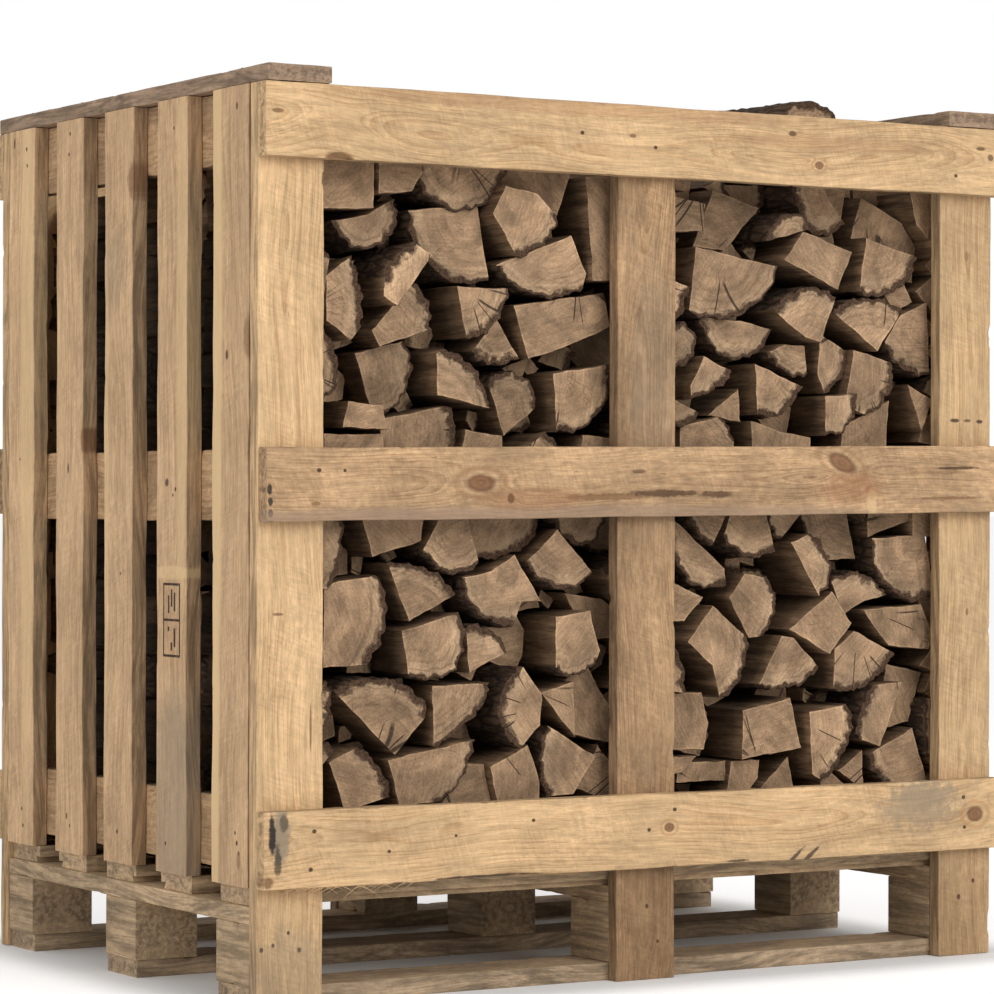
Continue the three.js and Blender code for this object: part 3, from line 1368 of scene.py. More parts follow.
        slope = rng.uniform(-0.07, 0.07, 2)
        insets = np.array([0.002, 0.0045, 0.009, 0.018])
        shift = np.linspace(1.0, 0.0, rows)[:, None]
        off = (x - middle[0]) * slope[0] + (z - middle[1]) * slope[1]
        side_y = np.repeat(y[:, None], number, 1) + off * shift
        parts = [np.stack([x, side_y, z], -1).reshape(-1, 3)]
        cap_quads, cap_tris = [], []
        ring_index = np.arange(number)
        following = (ring_index + 1) % number
        total = rows * number
        for row in (0, rows - 1):
            edge_ring = parts[0].reshape(rows, number, 3)[row]
            heart = edge_ring.mean(0)
            reach = np.linalg.norm(edge_ring - heart, axis=1)
            last = ring_index + row * number
            for inset in insets:
                pull = np.minimum(inset / np.maximum(reach, 1e-6), 0.62 + inset * 9)
                parts.append(edge_ring + (heart - edge_ring) * pull[:, None])
                here = total + ring_index
                cap_quads.append(np.stack([last, last[following], here[following], here], -1))
                last, total = here, total + number
            parts.append(heart[None, :])
            cap_tris.append(np.stack([last, last[following], np.full(number, total)], -1))
            total += 1
            if row == 0:
                cap_quads[-len(insets):] = [q[:, ::-1] for q in cap_quads[-len(insets):]]
                cap_tris[-1] = cap_tris[-1][:, ::-1]
        everything = np.concatenate(parts)
        sides = tube_faces(rows, number)
        quads = np.concatenate([sides] + cap_quads)
        triangles = np.concatenate(cap_tris)

        side_skin = np.where(barked, Skin.BARK.value, Skin.SPLIT_FACE.value)
        skin = np.concatenate([
            np.tile(side_skin, rows - 1),
            np.full(len(quads) - len(sides) + len(triangles), Skin.CUT_END.value),
        ])
        pith = self.pith(rng) * MM
        flat = everything[:, [0, 2]] - pith
        aim = math.atan2(middle[1] - pith[1], middle[0] - pith[0])
        cos, sin = math.cos(aim), math.sin(aim)
        grain = np.stack([
            flat[:, 0] * cos + flat[:, 1] * sin,
            everything[:, 1] + rng.uniform(0.0, 40.0),
            flat[:, 1] * cos - flat[:, 0] * sin,
        ], -1)
        rings = np.concatenate([[0.0], insets])
        cap_hem = np.concatenate([np.repeat(rings[1:], number), [0.04]])
        hem = np.concatenate([np.zeros(rows * number), cap_hem, cap_hem])
        rim = points[0][barked]
        if len(rim):
            gap = np.linalg.norm(everything[:, None, [0, 2]] - rim[None, :, :], axis=2).min(1)
        else:
            gap = np.full(len(everything), 1.0)
        tone = float(np.clip(self.tone * 1.25 + rng.uniform(-0.16, 0.16), -1, 1))
        # Painted shade: a log below BURIED gets a darker tone from its end back over 90 mm, deep between the
        # logs.
        shade_strength = self.GAP_SHADE if middle[1] < self.BURIED else 0.0
        gap_shade = -shade_strength * np.clip(np.abs(everything[:, 1] - start) / 0.09, 0.0, 1.0)
        return Surface(
            everything, quads, triangles, {"grain": grain},
            {"tone": tone + gap_shade, "edge": gap, "hem": hem}, {"skin": skin},
        ).outward()


def wedge(size: float, rng: np.random.Generator) -> Split:
    """Return a wedge split from a round, with bark across its wide end.

    Args:
        size: Its length from the pith side to the bark, in mm.
        rng: Random numbers.

    Returns:
        The piece, about its own middle.
    """
    half = size * rng.uniform(0.3, 0.48)
    cut = size * rng.uniform(0.0, 0.3)
    near = half * cut / size
    spots = [(-near, cut - size * 0.6), (-half, size * 0.4), (half, size * 0.4), (near, cut - size * 0.6)]
    spots = [spots[0], spots[1], spots[2]] if cut < size * 0.12 else spots
    return Split(tuple(spots), (1,), rng.uniform(0.1, 0.22))


def half_round(size: float, rng: np.random.Generator) -> Split:
    """Return a half of a thin round, with bark on its bow.

    Args:
        size: Its width across the split, in mm.
        rng: Random numbers.

    Returns:
        The piece, about its own middle.
    """
    return Split(((-size / 2, -size * 0.2), (size / 2, -size * 0.2)), (0,), rng.uniform(0.35, 0.5))


def slab(size: float, rng: np.random.Generator) -> Split:
    """Return a four-sided piece, with bark on one side a little less than half the time.

    Args:
        size: Its width, in mm.
        rng: Random numbers.

    Returns:
        The piece, about its own middle.
    """
    wide, tall = size * 0.5, size * rng.uniform(0.25, 0.45)
    jitter = rng.uniform(-0.12, 0.12, (4, 2)) * size
    base = np.array([(-wide, tall), (wide, tall), (wide, -tall), (-wide, -tall)]) + jitter
    bark = (0,) if rng.random() < 0.45 else ()
    return Split(tuple(map(tuple, base)), bark, 0.12)


@dataclass
class Packing:
    """Packs split logs of random shape into the space that a row has left.

    It keeps a map of how far each point of the row is from the nearest log or wall. A shape is
    tried at an open place and turn, dropped until it touches, and kept if it fits. The gaps
    that remain are filled with pieces cut to fit between their neighbours.

    Attributes:
        seed: Which packing.
        half_width: Half the row's width, in mm.
        foot: The row's foot, in mm.
        crown: The row's top at its left, over its middle part, and at its right, in mm.
        flat_half: Half the width of the crown's middle part, in mm.
        placed: The logs so far.
        CELL: The map's spacing, in mm.
        GAP: The least gap between logs, in mm.
        REACH: The greatest distance that the map holds, in mm.
        WIDEST: The greatest half width of a plug, in mm.
        MOST: The most pieces that plug gaps.
    """

    seed: int
    half_width: float
    foot: float
    crown: Triple
    flat_half: float
    placed: list[Split] = field(default_factory=list)

    CELL = 5.0
    GAP = 1.5
    REACH = 75.0
    WIDEST = 62.0
    MOST = 220

    def __post_init__(self) -> None:
        """Start the map from the row's walls and the logs that are already placed."""
        self.rng = np.random.default_rng(self.seed)
        self.xs = np.arange(-self.half_width, self.half_width + 0.1, self.CELL)
        self.zs = np.arange(self.foot, max(self.crown) + 0.1, self.CELL)
        grid_x, grid_z = np.meshgrid(self.xs, self.zs, indexing="ij")
        self.spots = np.stack([grid_x, grid_z], -1)
        reach = [-self.half_width, -self.flat_half, self.flat_half, self.half_width]
        heights = [self.crown[0], self.crown[1], self.crown[1], self.crown[2]]
        roof = np.interp(grid_x, reach, heights)
        walls = [grid_x + self.half_width, self.half_width - grid_x, grid_z - self.foot, roof - grid_z]
        self.clear = np.minimum.reduce(walls + [np.full(grid_x.shape, self.REACH)])
        for log in self.placed:
            self.mark(log)

    def mark(self, log: Split) -> None:
        """Lower the map near a log: outside it by the distance to its outline, inside to nothing.

        Args:
            log: The log.
        """
        outline = log.outline(16)[0]
        i0, k0 = ((outline.min(0) - self.REACH - self.spots[0, 0]) // self.CELL).astype(int).clip(0)
        i1, k1 = ((outline.max(0) + self.REACH - self.spots[0, 0]) // self.CELL).astype(int).clip(0)
        window = self.spots[i0:i1 + 1, k0:k1 + 1]
        following = np.roll(outline, -1, 0)
        edge = following - outline
        away = window[:, :, None, :] - outline
        share = np.clip((away * edge).sum(-1) / np.maximum((edge ** 2).sum(-1), 1e-9), 0, 1)
        distance = np.linalg.norm(away - share[..., None] * edge, axis=-1).min(-1)
        crosses = (outline[:, 1] > window[:, :, None, 1]) != (following[:, 1] > window[:, :, None, 1])
        slope = edge[:, 0] * away[..., 1] / np.where(np.abs(edge[:, 1]) < 1e-9, 1e-9, edge[:, 1])
        inside = (crosses & (away[..., 0] < slope)).sum(-1) % 2 == 1
        patch = self.clear[i0:i1 + 1, k0:k1 + 1]
        np.minimum(patch, np.where(inside, -distance, distance), out=patch)

    def free(self, points: np.ndarray) -> float:
        """Return the least clearance at some points.

        Args:
            points: Places in mm.

        Returns:
            The clearance in mm, or -1 where a point is outside the row.
        """
        i = np.clip(np.rint((points[:, 0] - self.xs[0]) / self.CELL).astype(int), 0, len(self.xs) - 1)
        k = np.clip(np.rint((points[:, 1] - self.zs[0]) / self.CELL).astype(int), 0, len(self.zs) - 1)
        off = np.abs(points[:, 0]).max() > self.half_width or points[:, 1].min() < self.foot
        return -1.0 if off else float(self.clear[i, k].min())

    def keep(self, log: Split) -> None:
        """Add a log to the row and to the map."""
        self.placed.append(log)
        self.mark(log)

    def try_one(self, size: float) -> bool:
        """Try one random shape at one open place, and keep it if it fits.

        Args:
            size: The shape's size in mm.

        Returns:
            Whether it was kept.
        """
        rng = self.rng
        open_spots = np.argwhere(self.clear > size * 0.3)
        if not len(open_spots):
            return False
        i, k = open_spots[rng.integers(len(open_spots))]
        kind = rng.choice([wedge, wedge, wedge, half_round, slab, slab])
        shape = kind(size, rng)
        turn = rng.uniform(0.0, math.tau)
        cos, sin = math.cos(turn), math.sin(turn)
        base = np.array(shape.corners) @ np.array([[cos, sin], [-sin, cos]])
        place = np.array([self.xs[i], self.zs[k]])

        def fits(spot: np.ndarray) -> bool:
            """Say whether the shape is clear of everything at a place."""
            trial = Split(tuple(map(tuple, base + spot)), shape.bark, shape.bulge)
            return self.free(trial.outline(20)[0]) > self.GAP

        if not fits(place):
            return False
        for step in ((0.0, -6.0), (-4.0, -4.0), (4.0, -4.0), (0.0, -3.0)):
            for _ in range(12):
                if not fits(place + np.array(step)):
                    break
                place = place + np.array(step)
        tone = float(rng.normal(0.0, 0.22))
        back = float(abs(rng.normal(0.0, 14.0)))
        self.keep(Split(tuple(map(tuple, base + place)), shape.bark, shape.bulge, back, tone))
        return True

    def plug(self, back: float, spread: float, least: float) -> bool:
        """Fill the widest gap with a piece cut to fit between its neighbours.

        The piece starts as a square about the gap's middle. Each near outline point takes a
        straight cut through it, square to the line from the middle.

        Args:
            back: How far such a piece is set back, in mm.
            spread: How much that varies, in mm.
            least: The least half width of a gap that is filled, in mm.

        Returns:
            Whether a piece was added.
        """
        i, k = np.unravel_index(np.argmax(self.clear), self.clear.shape)
        reach = float(self.clear[i, k])
        if reach < least:
            return False
        middle = self.spots[i, k]
        half = min(reach * 1.7, self.WIDEST)
        shape = middle + half * np.array([(-1.0, 1.0), (1.0, 1.0), (1.0, -1.0), (-1.0, -1.0)])
        fence = [log.outline(18)[0] for log in self.placed]
        near = np.concatenate(fence) if fence else np.zeros((0, 2))
        away = near - middle
        distance = np.linalg.norm(away, axis=1)
        order = np.argsort(distance)
        order = order[distance[order] < half * 1.5]
        for index in order[:60]:
            normal = away[index] / distance[index]
            limit = distance[index] - self.GAP
            if (((shape - middle) @ normal) > limit).any():
                shape = clip_polygon(shape, middle + normal * limit, normal)
        low = [-self.half_width, self.foot]
        shape = np.clip(shape, low, [self.half_width, max(self.crown)])
        shape = drop_short_edges(shape, min(24.0, reach * 1.3))
        rng = self.rng
        if len(shape) < 3:
            self.clear[i, k] = 0.0
            return True
        bark = (int(rng.integers(len(shape))),) if rng.random() < 0.4 else ()
        # A plug sits deep in a gap and has a slightly darker tone on average, as painted shade.
        self.keep(Split(tuple(map(tuple, shape)), bark, 0.05, back + float(abs(rng.normal(0, spread))),
                        float(rng.normal(-0.05, 0.2))))
        self.clear[i, k] = min(self.clear[i, k], 0.0)
        return True

    def fill(self, tries: int, back: float, spread: float, least: float) -> None:
        """Fill the row.

        Args:
            tries: How many random shapes are tried.
            back: How far the pieces that plug the gaps are set back, in mm.
            spread: How much that varies, in mm.
            least: The least half width of a gap that is filled, in mm.
        """
        for size in np.linspace(128.0, 66.0, tries):
            self.try_one(float(size * self.rng.uniform(0.85, 1.1)))
        for _ in range(self.MOST):
            if not self.plug(back, spread, least):
                break


def clip_polygon(shape: np.ndarray, point: np.ndarray, normal: np.ndarray) -> np.ndarray:
    """Cut a convex polygon by a line and return the part behind it.

    Args:
        shape: The polygon's corners.
        point: A point on the line.
        normal: The line's normal, towards the part that goes.

    Returns:
        The corners that remain, with the two new ones.
    """
    side = (shape - point) @ normal
    after, side_after = np.roll(shape, -1, 0), np.roll(side, -1)
    kept = []
    for here, there, s, t in zip(shape, after, side, side_after):
        if s <= 0:
            kept.append(here)
        if (s < 0 < t) or (t < 0 < s):
            kept.append(here + (there - here) * (s / (s - t)))
    return np.array(kept).reshape(-1, 2)


def drop_short_edges(shape: np.ndarray, least: float) -> np.ndarray:
    """Merge the ends of edges shorter than a length, shortest first.

    Args:
        shape: The polygon's corners.
        least: The least length of an edge.

    Returns:
        The corners that remain.
    """
    while len(shape) > 3:
        lengths = np.linalg.norm(np.roll(shape, -1, 0) - shape, axis=1)
        index = int(np.argmin(lengths))
        if lengths[index] >= least:
            break
        following = (index + 1) % len(shape)
        shape[index] = (shape[index] + shape[following]) / 2
        shape = np.delete(shape, following, 0)
    return shape


# Logs of the front row, by the corners of their ends: across from the middle and up from the
# floor, in mm.
FRONT_LOGS: tuple[Split, ...] = (
    Split(((-500, 1112), (-400, 1112), (-403, 1040), (-500, 1036)), back=20, tone=-0.1),
    Split(((-398, 1112), (-315, 1112), (-345, 1065), (-398, 1060)), (), 0.15, 15, 0.1),
    Split(((-342, 1113), (-195, 1116)), (1,), 0.48, 20),
    Split(((-203, 1116), (-78, 1116), (-106, 1043), (-203, 1075)), back=35, tone=-0.15),
    Split(((-76, 1098), (-25, 1100), (-28, 955), (-70, 955)), back=5, tone=-0.2),
    Split(((-460, 1022), (-405, 1034), (-363, 1056)), (2,), 0.5, 30, -0.1),
    Split(((-345, 1042), (-237, 1052), (-222, 952)), (2,), 0.27, 25),
    Split(((-212, 1078), (-160, 1070), (-126, 1042), (-192, 985), (-232, 1040)), (2,), 0.18, 0, 0.25),
    Split(((-218, 972), (-100, 1016), (-75, 965), (-80, 945)), (3,), 0.18, 10, 0.1),
    Split(
        ((-478, 950), (-441, 975), (-428, 930), (-428, 880), (-442, 865), (-478, 890)), (1, 2), 0.08, 10
    ),
    Split(((-395, 950), (-350, 995), (-325, 980), (-375, 912), (-395, 925)), (0,), 0.15, 0, 0.95),
    Split(((-342, 946), (-317, 882), (-390, 858), (-402, 880)), (0,), 0.15, 20),
    Split(((-287, 940), (-205, 940), (-272, 872)), (1,), 0.2, 0, 0.15),
    Split(((-212, 902), (-177, 850), (-250, 855)), (1,), 0.2, 20, 0.2),
    Split(((-192, 918), (-42, 940), (-30, 893), (-110, 862), (-168, 846)), (), 0.0, 12, 0.05),
    Split(((-505, 888), (-505, 772)), (0,), 0.4, 12),
    Split(((-417, 850), (-343, 868), (-388, 768)), (1,), 0.3, 45, -0.3),
    Split(((-312, 850), (-300, 858), (-232, 778), (-312, 795)), (1,), 0.15, 5),
    Split(((-222, 812), (-145, 780), (-197, 742)), (0,), 0.38, 25),
    Split(((-127, 828), (-33, 842), (-122, 748)), (1,), 0.25, 12, 0.1),
    Split(((-450, 785), (-400, 780), (-390, 748), (-457, 750)), back=0),
    Split(((-388, 763), (-286, 782), (-300, 705), (-388, 705)), (1,), 0.2, 20),
    Split(((-480, 742), (-390, 742), (-390, 690), (-480, 690)), back=10),
    Split(((-262, 750), (-205, 742), (-205, 690), (-275, 690)), back=15),
    Split(((-78, 745), (-20, 740), (-20, 690), (-85, 690)), back=10),
    Split(((45, 1115), (125, 1100), (120, 1090), (50, 1090)), back=60),
    Split(((50, 1085), (134, 1070), (132, 1032), (50, 1028)), back=25, tone=-0.2),
    Split(((158, 1093), (237, 1070), (180, 1007), (127, 1012)), (), 0.15, 45, -0.3),
    Split(((292, 1114), (342, 1103), (380, 1055), (330, 1035)), (2, 3), 0.15, 35, -0.1),
    Split(((285, 1037), (370, 1010), (342, 955), (250, 995)), back=0),
    Split(((402, 1032), (493, 1008), (385, 955)), (1,), 0.22, 8, 0.15),
    Split(
        ((425, 1094), (497, 1060), (520, 1025), (512, 972), (470, 985), (402, 1035)), back=50, tone=-0.25
    ),
    Split(((98, 1008), (247, 985), (90, 920)), (1,), 0.22, 5),
    Split(((233, 922), (340, 945), (315, 880), (288, 886)), (0,), 0.2, 0),
    Split(((338, 925), (463, 930), (417, 870)), (0,), 0.14, 5, 0.15),
    Split(((445, 955), (473, 982), (495, 943), (465, 928)), back=25),
    Split(((465, 925), (510, 943), (517, 840), (438, 885)), (2,), 0.2, 12),
    Split(((118, 912), (190, 908), (245, 898)), (2,), 0.4, 20),
    Split(((232, 864), (262, 877), (297, 875), (303, 834)), (3,), 0.15, 15),
    Split(((325, 893), (376, 870), (335, 808), (322, 835)), (1,), 0.15, 20),
    Split(((378, 872), (445, 855), (395, 780), (362, 790)), (1,), 0.25, 8, 0.1),
    Split(((60, 898), (60, 846)), (0,), 0.9, 10, -0.3),
    Split(((115, 856), (162, 836), (92, 797), (92, 815)), (1,), 0.1, 0, 0.2),
    Split(((137, 775), (190, 813), (194, 765)), back=25),
    Split(((203, 848), (285, 818), (207, 776)), (1,), 0.2, 5, 0.25),
    Split(((322, 804), (375, 808), (325, 748)), (1,), 0.25, 0, 0.1),
    Split(((365, 762), (447, 800), (438, 720), (360, 720)), back=15),
    Split(((474, 823), (518, 803), (496, 755)), back=5, tone=0.1),
    Split(((85, 760), (150, 772), (175, 740), (175, 700), (85, 700)), (1,), 0.1, 15),
    Split(((205, 768), (262, 752), (305, 745), (305, 700), (205, 700)), back=12),
    Split(((-425, 640), (-325, 640), (-330, 600), (-405, 580)), back=15, tone=-0.1),
    Split(((-300, 640), (-262, 632), (-246, 570), (-330, 590)), (2,), 0.25, 8, 0.1),
    Split(((-262, 640), (-135, 640), (-150, 600), (-235, 578)), (1, 2), 0.1, 30, -0.1),
    Split(((-120, 616), (-62, 556), (-172, 572)), (1,), 0.25, 8, 0.12),
    Split(((-112, 635), (-25, 640)), (1,), 0.5, 35, -0.15),
    Split(((-478, 545), (-402, 556), (-385, 510), (-415, 437), (-480, 435)), (1, 2), 0.08, 12),
    Split(((-383, 568), (-278, 528), (-352, 494)), (0,), 0.15, 12),
    Split(
        ((-273, 552), (-228, 560), (-190, 582), (-150, 518), (-180, 518), (-196, 486)), (5,), 0.2, 3, 0.1
    ),
    Split(((-368, 482), (-278, 505), (-285, 432), (-360, 425)), (1, 2), 0.15, 2, 0.08),
    Split(((-265, 484), (-197, 450), (-257, 423)), (0,), 0.2, 12, 0.1),
    Split(((-130, 498), (-75, 505), (-57, 450), (-62, 435), (-128, 428)), (3,), 0.2, 0, 0.1),
    Split(((-92, 528), (-30, 520), (0, 500), (0, 465), (-50, 462)), back=40),
    Split(((-467, 405), (-345, 400), (-330, 365), (-375, 317)), (0, 1), 0.14, 6),
    Split(((-316, 408), (-228, 410), (-245, 375), (-315, 327)), (1, 2), 0.06, 8, 0.12),
    Split(((-178, 430), (-147, 393), (-150, 350), (-183, 320)), (3,), 0.33, 3),
    Split(((-146, 395), (-92, 408), (-92, 332)), back=10, tone=0.1),
    Split(((-92, 410), (-60, 435), (-20, 365), (-25, 322), (-88, 335)), back=30, tone=-0.2),
    Split(((-475, 312), (-430, 331), (-380, 262), (-448, 245)), (1,), 0.1, 8, 0.1),
    Split(((-386, 312), (-258, 335), (-315, 252), (-368, 250)), (1,), 0.15, 3),
    Split(((-262, 302), (-232, 300), (-215, 235), (-310, 235)), back=15),
    Split(((-230, 297), (-170, 325), (-150, 275), (-150, 235), (-215, 235)), back=4, tone=0.15),
    Split(((-135, 350), (-60, 305), (-95, 255), (-135, 252)), (3,), 0.12, 8),
    Split(((-50, 320), (-15, 280), (-20, 235), (-85, 262)), back=15),
    Split(((60, 640), (90, 622), (168, 560), (170, 538), (110, 540)), (3, 4), 0.1, 25, -0.1),
    Split(((170, 640), (230, 640), (242, 585), (188, 580), (158, 608)), (2, 3), 0.1, 12),
    Split(((263, 597), (298, 609), (332, 560), (310, 520)), (1, 2), 0.12, 0, 0.4),
    Split(((305, 640), (388, 640), (403, 572), (345, 570)), (3,), 0.12, 35, -0.2),
    Split(((413, 640), (486, 640), (486, 627), (413, 603)), back=20),
    Split(((484, 640), (548, 640), (548, 604), (484, 603)), back=45),
    Split(((412, 602), (508, 607), (520, 520)), (2,), 0.3, 6, 0.1),
    Split(((60, 545), (88, 535), (122, 520), (88, 488), (60, 488)), back=10, tone=0.1),
    Split(
        ((127, 509), (188, 465), (180, 405), (145, 380), (130, 425), (85, 460)), (1, 2), 0.08, 2, 0.1
    ),
    Split(
        ((165, 520), (190, 553), (228, 548), (245, 505), (225, 465), (200, 462)), (2, 3), 0.08, 12
    ),
    Split(((248, 465), (270, 462), (318, 418), (208, 398)), (2,), 0.14, 3, 0.1),
    Split(((262, 474), (333, 527), (368, 481), (332, 437)), back=0, tone=0.12),
    Split(((340, 543), (395, 550), (437, 520), (400, 512), (363, 493)), (0, 1), 0.1, 10),
    Split(((342, 445), (377, 470), (448, 438), (400, 395), (340, 388)), (2, 3), 0.12, 5),
    Split(((395, 500), (500, 506), (522, 462), (512, 440), (440, 447)), back=8),
    Split(((460, 420), (522, 406), (495, 335), (446, 325)), back=35, tone=-0.15),
    Split(((410, 392), (463, 395), (427, 302), (387, 315)), (3,), 0.12, 5),
    Split(((60, 388), (120, 388), (132, 345), (125, 308), (60, 308)), back=15, tone=-0.2),
    Split(((180, 362), (266, 377), (287, 305), (180, 293)), back=3, tone=0.1),
    Split(((296, 356), (362, 366), (370, 322), (318, 258), (302, 268)), (1, 2), 0.1, 2, 0.3),
    Split(((407, 292), (483, 328), (510, 250), (440, 250)), (3,), 0.12, 8),
    Split(((357, 270), (400, 298), (402, 240)), back=15),
    Split(((90, 290), (172, 290), (172, 262), (90, 262)), back=30),
    Split(((175, 290), (225, 290), (222, 265), (200, 240), (165, 240)), back=20),
    Split(((240, 262), (278, 292), (290, 240), (215, 240)), back=25, tone=-0.15),
    Split(((55, 300), (110, 300), (88, 278), (55, 270)), back=12),
    Split(((330, 255), (350, 268), (385, 240), (330, 240)), back=20),
    Split(((507, 370), (525, 370), (525, 265), (510, 285)), (3,), 0.1, 10),
)

# Small pieces added after the packing, where a gap would run right through the stack.
GAP_LOGS: dict[str, tuple[Split, ...]] = {
    "log_row_front": (Split(((524, 1048), (550, 1044), (550, 1004), (518, 1008)), back=45),),
    "log_row_rear": (
        Split(((-546, 950), (-478, 955), (-480, 924), (-546, 920)), back=30),
        Split(((-546, 590), (-478, 594), (-480, 562), (-546, 558)), back=30),
    ),
}


class Firewood:
    """The stack of split logs: three rows and the loose logs on top of them.

    Attributes:
        ROUGHNESS: How far bark stands out from a packed outline, in mm.
        HIDDEN: How far from the middle a log's end is behind an outer post, in mm.
        NEARER: The share of its set-back that such a log keeps.
        CROWN_HALF: Half the width of the crown's middle part, in mm.
    """

    ROUGHNESS = 7.0
    HIDDEN = 508.0
    NEARER = 0.2
    CROWN_HALF = 440.0

    def __init__(self) -> None:
        """Make the three finishes of a split log."""
        self.finishes = [CutEnd().material(), SplitFace().material(), Bark().material()]

    def build_logs(
        self, name: str, logs: list[Split], front: float, rear: float, seed: int,
        nodes: tuple[str, ...], count: int, stations: int,
    ) -> bpy.types.Object:
        """Make some logs as one piece.

        Args:
            name: The piece's name.
            logs: The logs.
            front: The row's front, in metres.
            rear: The row's rear.
            seed: Which pieces of wood they are.
            nodes: The CAD nodes they stand for.
            count: Points round each outline.
            stations: Stations along each log.

        Returns:
            The object.
        """
        parts = [
            log.surface(front, rear, seed + 31 * index, count, stations)
            for index, log in enumerate(logs)
        ]
        whole = join(parts)
        skin = whole.face_values.pop("skin").astype(np.int32)
        piece = make_piece(name, whole, self.finishes[0], nodes, 38.0)
        for finish in self.finishes[1:]:
            piece.data.materials.append(finish)
        piece.data.polygons.foreach_set("material_index", skin)
        return piece

    def row(self, node: str, known: tuple[Split, ...], crown: Triple, seed: int,
            count: int, stations: int, mirrored: bool = False) -> None:
        """Build one row: the known logs, and others that fill the room they leave.

        A row is four pieces, left and right, lower and upper, so that none is too heavy.

        Args:
            node: The row's CAD node.
            known: Logs with a known outline.
            crown: The row's top at its left, middle and right, in mm.
            seed: Which packing.
            count: Points round each outline.
            stations: Stations along each log.
            mirrored: Whether the set-backs count from the row's rear.
        """
        def behind_post(log: Split) -> bool:
            """Say whether a log's end is hidden by an outer post."""
            return abs(log.middle()[0]) > self.HIDDEN

        low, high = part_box(node)
        room = high[0] / MM - self.ROUGHNESS
        packing = Packing(seed, room, low[2] / MM + self.ROUGHNESS, crown, self.CROWN_HALF,
                          list(known))
        if known:
            packing.fill(tries=260, back=75.0, spread=22.0, least=8.0)
        else:
            packing.fill(tries=620, back=10.0, spread=22.0, least=14.0)
        logs = [
            replace(log, back=log.back * self.NEARER) if known and behind_post(log) else log
            for log in (*packing.placed, *GAP_LOGS.get(node, ()))
        ]
        front, rear = (high[1], low[1]) if mirrored else (low[1], high[1])
        half_way = (low[2] + high[2]) / 2 / MM
        for side in ("left", "right"):
            for level in ("lower", "upper"):
                group = [
                    log for log in logs
                    if (log.middle()[0] >= 0.0) == (side == "right")
                    and (log.middle()[1] >= half_way) == (level == "upper")
                ]
                LOG.info("%s %s %s: %d logs", node, side, level, len(group))
                self.build_logs(f"{node}_{side}_{level}", group, front, rear,
                                seed * 1000 + (500 if level == "upper" else 0), (node,),
                                count, stations)

    def top_log(self, number: int, shape: Split, seed: int) -> None:
        """Build one loose log on top of the stack.

        Args:
            number: Its number.
            shape: Its outline.
            seed: Which piece of wood it is.
        """
        node = f"top_log_{number}"
        low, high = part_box(node)
        self.build_logs(f"{node}_split", [shape], low[1], high[1], seed, (node,), 72, 14)

    def build(self) -> None:
        """Build the rows and the loose logs."""
        self.row("log_row_front", FRONT_LOGS, (1090.0, 1116.0, 1082.0), 11, 44, 8)
        self.row("log_row_middle", (), (1098.0, 1136.0, 1094.0), 12, 28, 5)
        self.row("log_row_rear", (), (1094.0, 1122.0, 1088.0), 13, 36, 7, mirrored=True)
        for number, kind in enumerate(("half", "quarter", "half", "quarter", "half", "quarter", "half"), 1):
            low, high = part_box(f"top_log_{number}")
            x0, x1, z0, z1 = low[0] / MM, high[0] / MM, low[2] / MM, high[2] / MM
            if kind == "half":
                bulge = (z1 - z0 - 2.0) / (x1 - x0)
                inset = (x1 - x0) * max(0.0, bulge - 0.5) * 0.32
                shape = Split(((x0 + inset, z0 + 1), (x1 - inset, z0 + 1)), (0,),
                              (z1 - z0 - 3.0) / (x1 - x0 - 2 * inset), 2.0, 0.05)
                self.top_log(number, shape, 900 + number)
            else:
                shape = Split(((x0 + 2, z1 - 2), (x1 - 6, z0 + 1), (x0 + 2, z0 + 1)), (0,), 0.14, 2.0, 0.1)
                self.top_log(number, shape, 900 + number)


# ---------------------------------------------------------------------------
# The crate
# ---------------------------------------------------------------------------

TIERS = ("top", "middle", "bottom")
COLUMNS = ("left", "middle", "right")

